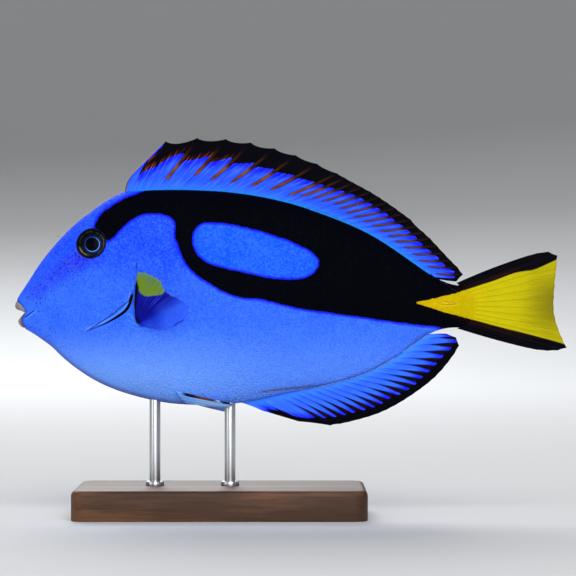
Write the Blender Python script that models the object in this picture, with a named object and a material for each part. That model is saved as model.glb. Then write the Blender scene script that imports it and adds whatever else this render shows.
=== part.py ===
"""A regal blue tang, life size, as a still museum model on a plain display stand.

Sizes are in millimetres. In the fish's own side view x runs back from the tip of
the snout, z runs up from the middle of the mouth, and y is across the fish, with
the left side at minus y. The finished part stands on z = 0, head towards minus x.
"""

import math

import bmesh
import bpy
import numpy as np

MM = 0.001
SNOUT_TO_ORIGIN = 110.4
MOUTH_HEIGHT = 84.6
GAP = 0.3
FAR = 60.0

# Body: each rib is the x and z of its top, the x and z of its foot, and its half width.
RIBS = (
    (0.2, -0.6, 1.5, -6.4, 1.5),
    (0.5, 1.6, 2.3, -8.3, 3.0),
    (1.9, 4.0, 3.8, -9.8, 4.1),
    (3.9, 6.8, 5.9, -11.0, 5.0),
    (6.6, 11.1, 8.5, -12.6, 6.0),
    (10.0, 16.2, 11.3, -14.6, 7.1),
    (14.0, 21.4, 14.7, -17.1, 8.2),
    (18.0, 26.0, 18.3, -20.6, 9.2),
    (22.0, 30.1, 22.0, -23.8, 10.0),
    (26.0, 33.6, 26.0, -26.8, 10.9),
    (30.0, 36.7, 30.0, -29.4, 11.7),
    (34.0, 39.6, 34.0, -31.6, 12.4),
    (38.5, 42.4, 38.5, -33.6, 13.1),
    (44.0, 44.9, 44.0, -35.6, 13.8),
    (52.0, 45.8, 52.0, -37.8, 14.4),
    (62.0, 46.0, 62.0, -39.7, 14.6),
    (74.0, 45.9, 74.0, -40.4, 14.2),
    (86.0, 45.2, 86.0, -40.0, 13.3),
    (96.0, 43.9, 96.0, -38.6, 12.3),
    (106.0, 41.9, 106.0, -36.3, 11.2),
    (118.0, 38.5, 118.0, -33.9, 9.9),
    (130.0, 34.2, 130.0, -31.2, 8.5),
    (142.0, 28.4, 142.0, -27.0, 6.9),
    (152.0, 22.3, 152.0, -21.6, 5.4),
    (160.0, 16.7, 160.0, -15.8, 4.3),
    (166.0, 12.3, 166.0, -11.9, 3.6),
    (171.0, 9.2, 171.0, -10.0, 3.0),
    (177.0, 7.5, 177.0, -9.3, 2.3),
    (184.0, 8.0, 184.0, -9.9, 1.3),
    (190.0, 9.0, 190.0, -10.8, 1.0),
)
HEAD_RIBS = (0.0, 14.5, 28)
TRUNK_RIBS = (7.0, 29.0, 36)
HEAD_SIDES = 36
TRUNK_SIDES = 36
SECTION_POWER = 1.03
BACK_SHARPNESS = 0.09
LIP_SWELL = 0.45
LIP_REACH = 2.2

# Side view lines that part the body.
GILL_LINE = (
    (38.5, 52.0), (40.5, 43.0), (44.0, 34.0), (47.0, 25.5), (48.7, 17.5), (48.4, 11.5),
    (47.2, 5.6), (45.4, -0.4), (42.0, -3.6), (38.0, -6.8), (33.0, -9.3), (29.0, -11.4),
    (25.8, -16.0), (23.8, -22.0), (22.6, -32.0),
)
STALK_LINE = ((151.0, 30.0), (152.6, 10.0), (153.0, 0.0), (152.6, -10.0), (151.0, -30.0))
TAIL_ROOT_LINE = ((175.2, 14.0), (178.6, 7.6), (182.8, 4.4), (184.6, -1.0), (182.8, -6.2),
                  (178.6, -9.6), (175.2, -16.0))
JAW_LINE = ((4.1, -3.5), (7.4, -6.2), (9.6, -10.2), (11.0, -20.0))

# Mouth, nostrils and eye.
MOUTH_CORNER = (4.3, -3.2)
UPPER_LIP_EDGE = (-1.0, -1.6)
LOWER_LIP_EDGE = (1.4, -6.1)
NOSTRILS = ((21.4, 22.2, 0.6), (19.8, 20.7, 0.45))
NOSTRIL_DEPTH = 1.2
EYE_CENTRE = (31.0, 24.2)
EYE_RADIUS = 6.0
EYE_HALF_DEPTH = 3.1
EYE_PROUD = 1.7
EYE_SEGMENTS = 20
EYE_RINGS = 10

# Gill covers: the front edge of each, from its top to its throat end.
COVER_FRONT_LINE = ((44.6, 22.4), (40.8, 18.4), (38.4, 12.6), (36.8, 6.6), (34.6, 1.4),
                    (31.6, -3.4), (27.6, -7.6))
COVER_REAR_LINE = ((46.6, 23.6), (48.4, 17.5), (48.1, 11.5), (46.9, 5.6), (45.1, -0.2),
                   (38.0, -6.4), (29.6, -10.4))
COVER_THICKNESS = 1.3
COVER_PROUD = 0.45
COVER_ROWS = 15
COVER_COLUMNS = 6

# Tail spine: a small folded blade in a groove on each side of the stalk.
SPINE_FRONT_X = 168.6
SPINE_REAR_X = 176.4
SPINE_HEIGHT_Z = 0.2
SPINE_DEPTH = 1.5
SPINE_THICKNESS = 0.9
SPINE_SUNK = 0.5

# Dorsal fin: nine spines, then soft rays. Between two rays the edge sags towards the root.
DORSAL_SPINE_FEET = (44.0, 50.0, 56.6, 66.0, 73.4, 81.4, 90.0, 97.4, 105.0)
DORSAL_SPINE_TIPS = (
    (47.4, 52.2), (60.4, 65.1), (73.0, 66.4), (84.4, 66.0), (94.4, 64.6), (103.8, 62.3),
    (112.4, 59.5), (120.8, 56.1), (128.8, 52.3),
)
DORSAL_SOFT_EDGE = (
    (128.8, 52.3), (134.4, 49.1), (142.4, 44.8), (150.4, 39.6), (156.4, 35.2), (159.6, 32.7),
    (161.4, 30.0), (163.7, 28.5), (167.2, 25.1), (172.8, 19.0), (177.4, 14.4), (179.2, 12.4),
    (178.4, 10.4), (176.6, 9.0),
)
DORSAL_LAST_FOOT = 168.8
DORSAL_SOFT_RAYS = 18
DORSAL_SAGS = (0.0, 1.6, 1.1, 1.0, 1.0, 0.7, 0.5, 0.5)
DORSAL_SOFT_SAG = 0.2
DORSAL_FIRST_BOW = 0.1
DORSAL_BOW = -0.02

# Anal fin: three spines, then soft rays.
ANAL_SPINE_FEET = (90.5, 97.0, 104.5)
ANAL_SPINE_TIPS = ((98.8, -42.6), (113.6, -47.0), (126.3, -48.6))
ANAL_SOFT_EDGE = (
    (126.3, -48.6), (132.7, -47.4), (142.7, -44.7), (149.3, -42.0), (156.0, -38.2), (162.7, -33.6),
    (168.7, -28.6), (174.0, -22.4), (177.4, -17.2), (177.6, -14.8), (176.0, -13.1), (172.7, -11.9),
)
ANAL_LAST_FOOT = 165.6
ANAL_SOFT_RAYS = 18
ANAL_SAGS = (0.0, 0.4, 0.4)
ANAL_SOFT_SAG = 0.2
ANAL_BOW = 0.02

# Tail fin.
TAIL_EDGE = (
    (205.0, 19.3), (210.0, 20.6), (214.6, 20.9), (217.1, 19.2), (216.8, 15.6), (216.2, 10.6),
    (215.8, 5.0), (215.5, -1.0), (216.0, -5.4), (217.2, -9.4), (219.0, -13.9), (220.8, -17.9),
    (216.6, -18.7), (210.6, -18.7), (204.6, -17.5),
)
TAIL_ROOT_SPAN = (-10.2, 8.5)
TAIL_RAYS = 17
TAIL_SAG = 0.4
TAIL_BOWS = (0.015, -0.01)

# Pectoral fin: side view tips of its rays, each with how far it stands off the flank.
PECTORAL_ROOT = ((48.9, -5.0), (53.6, -9.2))
PECTORAL_TIPS = (
    (49.2, 13.0, 7.4), (52.0, 12.7, 8.0), (54.6, 11.6, 8.2), (56.9, 10.5, 8.2), (58.5, 9.0, 8.0),
    (59.4, 6.4, 7.6), (60.6, 4.0, 7.2), (64.0, 2.8, 7.0), (67.4, 1.6, 6.6), (69.8, -0.6, 6.2),
    (69.4, -3.2, 5.6), (67.4, -6.4, 4.8), (64.2, -8.6, 4.0), (60.4, -10.3, 3.2),
)
PECTORAL_BOW = -1.1
PECTORAL_REAR_BOW = 0.66
PECTORAL_SAG = 0.5
PECTORAL_CURL = 1.5

# Pelvic fins: root points on the belly in side view, and tips in space on the left side.
PELVIC_ROOTS = ((64.8, -34.2), (65.6, -35.6), (66.8, -37.0), (68.2, -38.2))
PELVIC_TIPS = ((85.6, -7.9, -39.3), (87.0, -7.2, -39.9), (86.4, -6.2, -40.7), (83.4, -5.2, -41.2))
PELVIC_RIGHT_DROP = 1.9
PELVIC_DROOP = (0.0, -1.44, -0.9)
PELVIC_STAND_OFF = 0.1

# Fin thicknesses.
ROOT_THICKNESS = 1.9
RAY_TIP_THICKNESS = 0.6
MEMBRANE_THICKNESS = 0.5
MEMBRANE_ROOT_THICKNESS = 1.0
RIDGE_SHARE = 0.28
RIDGE_TAPER = 0.8
WEB_TAPER = 0.5
FIN_ROWS = 5

# Stand.
BASE_SIZE = (116.0, 72.0, 12.0)
BASE_CENTRE_X = -28.0
BASE_CORNER = 6.0
BASE_BEVEL = 2.0
ROD_RADIUS = 2.2
ROD_SIDES = 20
ROD_X = {"stand_rod_front": 56.0, "stand_rod_rear": 86.0}
ROD_IN_BASE = 8.0
ROD_IN_BODY = 6.0

# How far cutters reach past the solids they cut.
CUT_PAST = 5.0
GROOVE_PAST = 3.0
SEAT_PAST = 3.0

FLESH_BLUE = (0.03, 0.12, 0.95)
FIN_BLUE = (0.02, 0.10, 0.80)
TAIL_YELLOW = (0.80, 0.68, 0.02)
PALE_BLUE = (0.30, 0.48, 0.95)
EYE_BLACK = (0.01, 0.02, 0.03)
BONE = (0.70, 0.70, 0.60)
OAK = (0.36, 0.20, 0.09)
STEEL = (0.62, 0.62, 0.64)


def clear_scene():
    """Remove whatever the scene holds."""
    for thing in list(bpy.data.objects):
        bpy.data.objects.remove(thing, do_unlink=True)


def principled(name, colour, roughness, metallic=0.0):
    """A plain material in one colour."""
    material = bpy.data.materials.new(name)
    material.use_nodes = True
    shader = material.node_tree.nodes["Principled BSDF"]
    shader.inputs["Base Color"].default_value = (*colour, 1.0)
    shader.inputs["Roughness"].default_value = roughness
    shader.inputs["Metallic"].default_value = metallic
    return material


def to_world(points):
    """Points in the fish's millimetres as world metres."""
    return (np.asarray(points, float) + (-SNOUT_TO_ORIGIN, 0.0, MOUTH_HEIGHT)) * MM


def mesh_object(name, points, faces, material=None):
    """One closed mesh object from points in fish millimetres, faces turned outwards."""
    mesh = bpy.data.meshes.new(name)
    mesh.from_pydata(to_world(points).tolist(), [], faces)
    shape = bmesh.new()
    shape.from_mesh(mesh)
    bmesh.ops.recalc_face_normals(shape, faces=shape.faces)
    shape.to_mesh(mesh)
    shape.free()
    thing = bpy.data.objects.new(name, mesh)
    bpy.context.scene.collection.objects.link(thing)
    if material:
        mesh.materials.append(material)
    return thing


def smooth_rows(rows):
    """A smooth curve through numbered rows of values, read at any position."""
    rows = np.array(rows, float)
    slopes = np.gradient(rows, axis=0)

    def value(position):
        position = np.asarray(position, float)
        row = np.clip(np.floor(position).astype(int), 0, len(rows) - 2)
        t = (position - row)[..., None]
        rise = rows[row + 1] - rows[row]
        bend = (1 - t) * (slopes[row] - rise) + t * (rise - slopes[row + 1])
        return rows[row] + t * rise + t * (1 - t) * bend

    return value


def along(line, share):
    """Points at shares of the length of a line through the given points."""
    line = np.array(line, float)
    steps = np.linalg.norm(np.diff(line[:, :2], axis=0), axis=1)
    length = np.concatenate(([0.0], np.cumsum(steps)))
    position = np.interp(np.asarray(share) * length[-1], length, np.arange(len(line)))
    return smooth_rows(line)(position)


rib = smooth_rows(RIBS)
FINE_POSITIONS = np.linspace(0.0, len(RIBS) - 1.0, 1200)
FINE_RIBS = rib(FINE_POSITIONS)


def back(x):
    """Height of the back at x."""
    return np.interp(x, FINE_RIBS[:, 0], FINE_RIBS[:, 1])


def belly(x):
    """Height of the belly at x."""
    return np.interp(x, FINE_RIBS[:, 2], FINE_RIBS[:, 3])


def width_share(rise):
    """Share of the rib's half width at a rise from -1 at its foot to 1 at its top."""
    across = np.sqrt(np.clip(1.0 - rise ** 2, 0.0, 1.0))
    return across ** (SECTION_POWER + BACK_SHARPNESS * rise)


def flank(x, z):
    """Half width of the body at a point of the side view, behind the snout."""
    top = back(x)
    foot = belly(x)
    rise = np.clip((2.0 * z - top - foot) / (top - foot), -1.0, 1.0)
    return np.interp(x, FINE_RIBS[:, 0], FINE_RIBS[:, 4]) * width_share(rise)


def off_flank(x, z, out):
    """Point that stands off the left flank by a distance along its outward normal."""
    step = 0.05
    slope_x = (flank(x + step, z) - flank(x - step, z)) / (2 * step)
    slope_z = (flank(x, z + step) - flank(x, z - step)) / (2 * step)
    normal = np.stack((-slope_x, -np.ones_like(slope_x), -slope_z), axis=-1)
    normal /= np.linalg.norm(normal, axis=-1, keepdims=True)
    start = np.stack((x + 0.0 * slope_x, -flank(x, z), z + 0.0 * slope_x), axis=-1)
    return start + normal * np.asarray(out)[..., None]


def body_loft(name, span, sides):
    """The body between two ribs, as rings of points skinned into one closed solid."""
    first, last, rings = span
    turn = np.linspace(0.0, 2.0 * math.pi, sides, endpoint=False)
    rise = np.cos(turn)
    side = np.sign(np.sin(turn))
    points = []
    for position in np.linspace(first, last, rings):
        top_x, top_z, foot_x, foot_z, half = rib(position)
        x = foot_x + (top_x - foot_x) * (rise + 1.0) / 2.0
        z = foot_z + (top_z - foot_z) * (rise + 1.0) / 2.0
        lip = np.exp(-((x - 1.0) ** 2 + (z + 3.4) ** 2 / 4.0) / LIP_REACH ** 2)
        y = side * half * width_share(rise) * (1.0 + LIP_SWELL * lip)
        points.extend(np.stack((x, y, z), axis=1))
    faces = []
    for ring in range(rings - 1):
        for i in range(sides):
            j = (i + 1) % sides
            a = ring * sides
            faces.append((a + i, a + j, a + sides + j, a + sides + i))
    faces.append(tuple(range(sides)))
    faces.append(tuple(range((rings - 1) * sides, rings * sides)))
    return mesh_object(name, points, faces)


def shifted(line, distance):
    """A side view line moved sideways, to its left when walked from first to last."""
    line = np.array(line, float)
    run = np.gradient(line, axis=0)
    run /= np.linalg.norm(run, axis=1, keepdims=True)
    return line + distance * np.stack((-run[:, 1], run[:, 0]), axis=1)


def prism(name, outline, near=-FAR, far=FAR):
    """A cutter: a side view outline drawn across the fish from near to far."""
    count = len(outline)
    points = [(x, near, z) for x, z in outline] + [(x, far, z) for x, z in outline]
    faces = [tuple(range(count)), tuple(range(2 * count - 1, count - 1, -1))]
    faces += [(i, i + count, (i + 1) % count + count, (i + 1) % count) for i in range(count)]
    return mesh_object(name, points, faces)


def region(name, line, front):
    """A cutter for all that lies in front of, or behind, a line from above to below."""
    edge = -FAR if front else 260.0
    line = [tuple(point) for point in along(line, np.linspace(0.0, 1.0, 33))]
    ends = [(line[0][0], FAR), (line[-1][0], -FAR)]
    return prism(name, [(edge, FAR), ends[0]] + line + [ends[1], (edge, -FAR)])


def largest_shell(thing):
    """Keep only the largest closed surface of a mesh object."""
    shape = bmesh.new()
    shape.from_mesh(thing.data)
    todo = set(shape.verts)
    shells = []
    while todo:
        shell = {todo.pop()}
        edge_of_shell = list(shell)
        while edge_of_shell:
            vertex = edge_of_shell.pop()
            for edge in vertex.link_edges:
                other = edge.other_vert(vertex)
                if other in todo:
                    todo.discard(other)
                    shell.add(other)
                    edge_of_shell.append(other)
        shells.append(shell)
    shells.sort(key=len)
    for shell in shells[:-1]:
        bmesh.ops.delete(shape, geom=list(shell), context="VERTS")
    shape.to_mesh(thing.data)
    shape.free()


def combine(thing, tools, operation):
    """Cut, keep or join a solid with closed tools, which are then removed."""
    group = bpy.data.collections.new("tools")
    for tool in tools:
        group.objects.link(tool)
    step = thing.modifiers.new(operation.lower(), "BOOLEAN")
    step.operation = operation
    step.operand_type = "COLLECTION"
    step.collection = group
    step.solver = "EXACT"
    bpy.context.view_layer.objects.active = thing
    bpy.ops.object.modifier_apply(modifier=step.name)
    for tool in tools:
        bpy.data.objects.remove(tool, do_unlink=True)
    bpy.data.collections.remove(group)
    largest_shell(thing)
    return thing


def finish(thing, material, angle=40.0):
    """Give a solid its material and smooth its rounded faces."""
    thing.data.materials.clear()
    thing.data.materials.append(material)
    thing.data.shade_smooth()
    thing.data.set_sharp_from_angle(angle=math.radians(angle))
    return thing


def ellipsoid(name, centre, normal, radius, half_depth, segments, rings):
    """A flattened ball whose short axis lies along a normal."""
    normal = np.array(normal, float) / np.linalg.norm(normal)
    side = np.cross(normal, (0.0, 0.0, 1.0))
    side /= np.linalg.norm(side)
    up = np.cross(side, normal)
    points = [np.array(centre) + normal * half_depth]
    for i in range(1, rings):
        tilt = math.pi * i / rings
        for j in range(segments):
            turn = 2.0 * math.pi * j / segments
            spread = radius * math.sin(tilt)
            points.append(np.array(centre) + normal * half_depth * math.cos(tilt)
                          + side * spread * math.cos(turn) + up * spread * math.sin(turn))
    points.append(np.array(centre) - normal * half_depth)
    faces = []
    for j in range(segments):
        k = (j + 1) % segments
        foot = len(points) - 1
        faces.append((0, 1 + j, 1 + k))
        faces.append((foot, foot - segments + k, foot - segments + j))
        for i in range(rings - 2):
            a = 1 + i * segments
            faces.append((a + j, a + segments + j, a + segments + k, a + k))
    return mesh_object(name, points, faces)


def mirrored(point, side):
    """A point of the left side, or its mirror image on the right."""
    return np.array(point, float) * (1.0, side, 1.0)


def eye_place(side):
    """Centre and outward direction of an eyeball; side is 1 for left, -1 for right."""
    x, z = EYE_CENTRE
    skin = off_flank(np.array(x), np.array(z), np.array(0.0))
    out = off_flank(np.array(x), np.array(z), np.array(1.0)) - skin
    centre = skin + out * (EYE_PROUD - EYE_HALF_DEPTH)
    return mirrored(centre, side), mirrored(out, side)


def make_eye(name, side, grow=0.0):
    """An eyeball, or its socket's cutter when grown by the gap."""
    centre, out = eye_place(side)
    radius = EYE_RADIUS + grow
    return ellipsoid(name, centre, out, radius, EYE_HALF_DEPTH + grow, EYE_SEGMENTS, EYE_RINGS)


def nostril_cutter(side, x, z, radius):
    """A short round hole into the snout."""
    skin = off_flank(np.array(x), np.array(z), np.array(0.0))
    out = off_flank(np.array(x), np.array(z), np.array(1.0)) - skin
    centre = mirrored(skin, side)
    return ellipsoid("nostril", centre, mirrored(out, side), radius, NOSTRIL_DEPTH, 10, 6)


def grid_solid(name, outer, inner, material=None):
    """A closed plate between two grids of points, split alike on both faces."""
    rows, columns = outer.shape[:2]
    count = rows * columns
    points = np.concatenate((outer.reshape(count, 3), inner.reshape(count, 3)))
    faces = []
    for i in range(rows - 1):
        for j in range(columns - 1):
            a = i * columns + j
            b = a + columns
            faces += [(a, b, b + 1), (a, b + 1, a + 1)]
            a += count
            b += count
            faces += [(a, b + 1, b), (a, a + 1, b + 1)]
    rim = list(range(columns - 1))
    rim += [i * columns + columns - 1 for i in range(rows - 1)]
    rim += [(rows - 1) * columns + j for j in range(columns - 1, 0, -1)]
    rim += [i * columns for i in range(rows - 1, 0, -1)]
    for a, b in zip(rim, rim[1:] + rim[:1]):
        faces.append((a, b, count + b, count + a))
    return mesh_object(name, points, faces, material)


def gill_cover(name, side, material, cutter=False):
    """A thin plate over the gills, or the cutter that makes its seat in the head."""
    spare = GAP if cutter else 0.0
    shares = np.linspace(0.0, 1.0, COVER_ROWS)
    front = along(COVER_FRONT_LINE, shares)
    rear = along(COVER_REAR_LINE, shares)
    run = np.linspace(0.0, 1.0, COVER_COLUMNS)
    if cutter:
        out_of_head = rear - front
        out_of_head /= np.linalg.norm(out_of_head, axis=1, keepdims=True)
        front = front - out_of_head * spare
        rear = rear + out_of_head * SEAT_PAST
        stretch = along(COVER_FRONT_LINE, (0.0, 0.02))
        lift = (stretch[0] - stretch[1]) / np.linalg.norm(stretch[0] - stretch[1])
        front[0] += lift * spare
        rear[0] += lift * (spare + 1.0)
        front[-1] -= (0.0, spare)
        rear[-1] -= (0.0, spare + 1.0)
    spot = front[:, None] + (rear - front)[:, None] * run[None, :, None]
    x, z = spot[..., 0], spot[..., 1]
    swell = COVER_PROUD * np.sqrt(run)[None, :] * np.ones_like(x)
    outer = off_flank(x, z, 0.0 * x + 2.0 * SEAT_PAST if cutter else swell)
    inner = off_flank(x, z, 0.0 * x - COVER_THICKNESS - spare)
    turn = (1.0, side, 1.0)
    return grid_solid(name, outer * turn, inner * turn, material)


def ray_columns(count):
    """Positions across a fin: three for each ray, its ridge and both its feet."""
    columns = []
    for ray in range(count):
        if ray > 0:
            columns.append(ray - RIDGE_SHARE)
        columns.append(float(ray))
        if ray < count - 1:
            columns.append(ray + RIDGE_SHARE)
    return np.array(columns)


def between_rays(values, columns):
    """Values given at the rays, read at each column."""
    values = np.asarray(values, float)
    whole = np.clip(columns.astype(int), 0, len(values) - 2)
    part = (columns - whole)[:, None]
    return values[whole] * (1.0 - part) + values[whole + 1] * part


def fin_solid(name, middle, on_ray, root, tip, material, normal=None):
    """A membrane with its rays as ridges, thick at the root and thin at the edge."""
    rows = middle.shape[0]
    fall = np.linspace(0.0, 1.0, rows)[:, None]
    ridge = root + (tip - root) * fall ** RIDGE_TAPER
    web = MEMBRANE_THICKNESS - MEMBRANE_ROOT_THICKNESS
    web = MEMBRANE_ROOT_THICKNESS + web * fall ** WEB_TAPER
    thickness = np.where(on_ray[None, :], ridge, np.minimum(web, ridge))
    if normal is None:
        normal = np.cross(np.gradient(middle, axis=1), np.gradient(middle, axis=0))
        normal /= np.linalg.norm(normal, axis=2, keepdims=True)
    offset = normal * thickness[..., None] / 2.0
    return finish(grid_solid(name, middle + offset, middle - offset), material, 25.0)


def upright_fin(name, feet, tips, sags, bows, material):
    """A fin in the middle plane: its rays' feet and tips, the sags between and the bows."""
    columns = ray_columns(len(feet))
    on_ray = np.isclose(columns, np.round(columns))
    foot = between_rays(feet, columns)
    tip = between_rays(tips, columns)
    bow = between_rays(np.asarray(bows, float)[:, None], columns)
    run = tip - foot
    length = np.linalg.norm(run, axis=1, keepdims=True)
    sag = np.asarray(sags, float)[np.clip(columns.astype(int), 0, len(sags) - 1)]
    tip = tip - np.where(on_ray, 0.0, sag)[:, None] * run / length
    climb = np.linspace(0.0, 1.0, FIN_ROWS)[:, None, None]
    line = foot[None] + (tip - foot)[None] * climb
    across = np.stack((-run[:, 1], run[:, 0]), axis=1)
    line = line + across[None] * bow[None] * 4.0 * climb * (1.0 - climb)
    middle = np.stack((line[..., 0], 0.0 * line[..., 0], line[..., 1]), axis=-1)
    sideways = np.array((0.0, 1.0, 0.0))
    return fin_solid(name, middle, on_ray, ROOT_THICKNESS, RAY_TIP_THICKNESS, material, sideways)


def on_back(x):
    """Foot of a ray on the back, clear of it by the gap."""
    return np.stack((x, back(x) + GAP), axis=1)


def under_belly(x):
    """Foot of a ray under the belly, clear of it by the gap."""
    return np.stack((x, belly(x) - GAP), axis=1)


def make_dorsal_fin(material):
    """Nine spines and a long soft part that ends over the tail stalk."""
    soft = np.linspace(0.0, 1.0, DORSAL_SOFT_RAYS + 1)[1:]
    last = DORSAL_SPINE_FEET[-1]
    feet_x = np.concatenate((DORSAL_SPINE_FEET, last + (DORSAL_LAST_FOOT - last) * soft))
    tips = np.concatenate((DORSAL_SPINE_TIPS, along(DORSAL_SOFT_EDGE, soft)))
    sags = DORSAL_SAGS + (DORSAL_SOFT_SAG,) * DORSAL_SOFT_RAYS
    bows = (DORSAL_FIRST_BOW,) + (DORSAL_BOW,) * (len(tips) - 1)
    return upright_fin("dorsal_fin", on_back(feet_x), tips, sags, bows, material)


def make_anal_fin(material):
    """Three spines and a long soft part under the tail stalk."""
    soft = np.linspace(0.0, 1.0, ANAL_SOFT_RAYS + 1)[1:]
    last = ANAL_SPINE_FEET[-1]
    feet_x = np.concatenate((ANAL_SPINE_FEET, last + (ANAL_LAST_FOOT - last) * soft))
    tips = np.concatenate((ANAL_SPINE_TIPS, along(ANAL_SOFT_EDGE, soft)))
    sags = ANAL_SAGS + (ANAL_SOFT_SAG,) * (ANAL_SOFT_RAYS - 1)
    bows = (ANAL_BOW,) * len(tips)
    return upright_fin("anal_fin", under_belly(feet_x), tips, sags, bows, material)


def make_tail_fin(material):
    """The tail fin's rays fan out from the rounded end of the stalk."""
    shares = np.linspace(0.0, 1.0, TAIL_RAYS)
    line = along(shifted(TAIL_ROOT_LINE, GAP), np.linspace(0.0, 1.0, 200))
    inside = (line[:, 1] > TAIL_ROOT_SPAN[0]) & (line[:, 1] < TAIL_ROOT_SPAN[1])
    feet = along(line[inside], shares)
    tips = along(TAIL_EDGE, shares)
    sags = (TAIL_SAG,) * (TAIL_RAYS - 1)
    bows = np.linspace(*TAIL_BOWS, TAIL_RAYS)
    return upright_fin("tail_fin", feet, tips, sags, bows, material)


def make_pectoral_fin(name, side, material):
    """A fan of rays that lies flat at its root and stands off the flank at its tips."""
    tips = np.array(PECTORAL_TIPS)
    count = len(tips)
    feet = along(PECTORAL_ROOT + PECTORAL_ROOT[1:], np.linspace(0.0, 1.0, count))
    columns = ray_columns(count)
    on_ray = np.isclose(columns, np.round(columns))
    foot = between_rays(feet, columns)
    tip = between_rays(tips, columns)
    run = tip[:, :2] - foot
    length = np.linalg.norm(run, axis=1)
    tip[:, :2] -= (np.where(on_ray, 0.0, PECTORAL_SAG) / length)[:, None] * run
    run = tip[:, :2] - foot
    climb = np.linspace(0.0, 1.0, FIN_ROWS + 1)[:, None]
    bows = np.linspace(PECTORAL_BOW, PECTORAL_REAR_BOW, len(columns))[None, :]
    bow = bows * 4.0 * climb * (1.0 - climb)
    x = foot[:, 0] + run[:, 0] * climb + run[:, 1] / length * bow
    z = foot[:, 1] + run[:, 1] * climb - run[:, 0] / length * bow
    lift = GAP + ROOT_THICKNESS / 2.0 + tip[:, 2] * climb ** PECTORAL_CURL
    middle = off_flank(x, z, lift) * (1.0, side, 1.0)
    return fin_solid(name, middle, on_ray, ROOT_THICKNESS, RAY_TIP_THICKNESS, material)


def make_pelvic_fin(name, side, drop, material):
    """One spine and three rays, folded back along the belly."""
    roots = np.array(PELVIC_ROOTS)
    stand_off = GAP + MEMBRANE_ROOT_THICKNESS / 2.0 + PELVIC_STAND_OFF
    feet = off_flank(roots[:, 0], roots[:, 1], np.full(len(roots), stand_off))
    tips = np.array(PELVIC_TIPS) - (0.0, 0.0, drop)
    columns = ray_columns(len(roots))
    on_ray = np.isclose(columns, np.round(columns))
    foot = between_rays(feet, columns)
    tip = between_rays(tips, columns)
    climb = np.linspace(0.0, 1.0, FIN_ROWS)[:, None, None]
    droop = climb * (1.0 - climb) * np.array(PELVIC_DROOP)
    middle = (foot[None] + (tip - foot)[None] * climb + droop) * (1.0, side, 1.0)
    return fin_solid(name, middle, on_ray, MEMBRANE_ROOT_THICKNESS, RAY_TIP_THICKNESS, material)


def spine_outline(grow):
    """Side view of a folded tail spine, its point towards the head."""
    middle = (SPINE_FRONT_X + SPINE_REAR_X) / 2.0
    high = SPINE_DEPTH / 2.0 + grow
    rear = SPINE_REAR_X + grow
    upper = ((middle - 1.5, 0.6 * high), (SPINE_REAR_X - 1.0, high), (rear, 0.5 * high))
    lower = tuple((x, -z) for x, z in reversed(upper))
    outline = ((SPINE_FRONT_X - grow, 0.0),) + upper + lower
    return tuple((x, SPINE_HEIGHT_Z + z) for x, z in outline)


def make_tail_spine(name, side, grow=0.0, material=None):
    """A tail spine, or the cutter of its groove when grown by the gap."""
    outline = np.array(spine_outline(grow))
    half = flank(outline[:, 0], outline[:, 1])
    inner = half - SPINE_SUNK - grow
    outer = half + (GROOVE_PAST if grow else SPINE_THICKNESS - SPINE_SUNK)
    count = len(outline)
    points = [(x, -side * y, z) for (x, z), y in zip(outline, inner)]
    points += [(x, -side * y, z) for (x, z), y in zip(outline, outer)]
    faces = [tuple(range(count)), tuple(range(count, 2 * count))]
    faces += [(i, (i + 1) % count, (i + 1) % count + count, i + count) for i in range(count)]
    thing = mesh_object(name, points, faces)
    return finish(thing, material) if material else thing


def mouth_wedge():
    """The open gape between the lips."""
    far = LOWER_LIP_EDGE[0] - 9.4
    under = (LOWER_LIP_EDGE[0] - 2.6, LOWER_LIP_EDGE[1] - 2.8)
    outline = (MOUTH_CORNER, UPPER_LIP_EDGE, (far, UPPER_LIP_EDGE[1]), (far, -10.0), under)
    return prism("gape", outline + (LOWER_LIP_EDGE,))


def jaw_region(name, grow):
    """All that belongs to the lower jaw, grown by the gap when it is cut from the head."""
    line = along(shifted(JAW_LINE, grow), np.linspace(0.0, 1.0, 12))
    corner = (MOUTH_CORNER[0] - 0.2, MOUTH_CORNER[1] + (GAP if grow else -GAP))
    ends = [(-20.0, -20.0), (-20.0, MOUTH_CORNER[1])]
    return prism(name, [corner] + [tuple(point) for point in line] + ends)


def rod_hole(name, x, low, high):
    """A round hole for a stand rod between two heights in the fish's frame."""
    return rod_shape(name, x, low, high, ROD_RADIUS + GAP)


def rod_shape(name, x, low, high, radius):
    """An upright round bar between two heights in the fish's frame."""
    depth = (high - low) * MM
    bpy.ops.mesh.primitive_cylinder_add(vertices=ROD_SIDES, radius=radius * MM, depth=depth)
    thing = bpy.context.object
    thing.name = name
    thing.location = to_world((x, 0.0, (low + high) / 2.0))
    bpy.context.view_layer.update()
    thing.data.transform(thing.matrix_world)
    thing.matrix_world.identity()
    return thing


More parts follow.
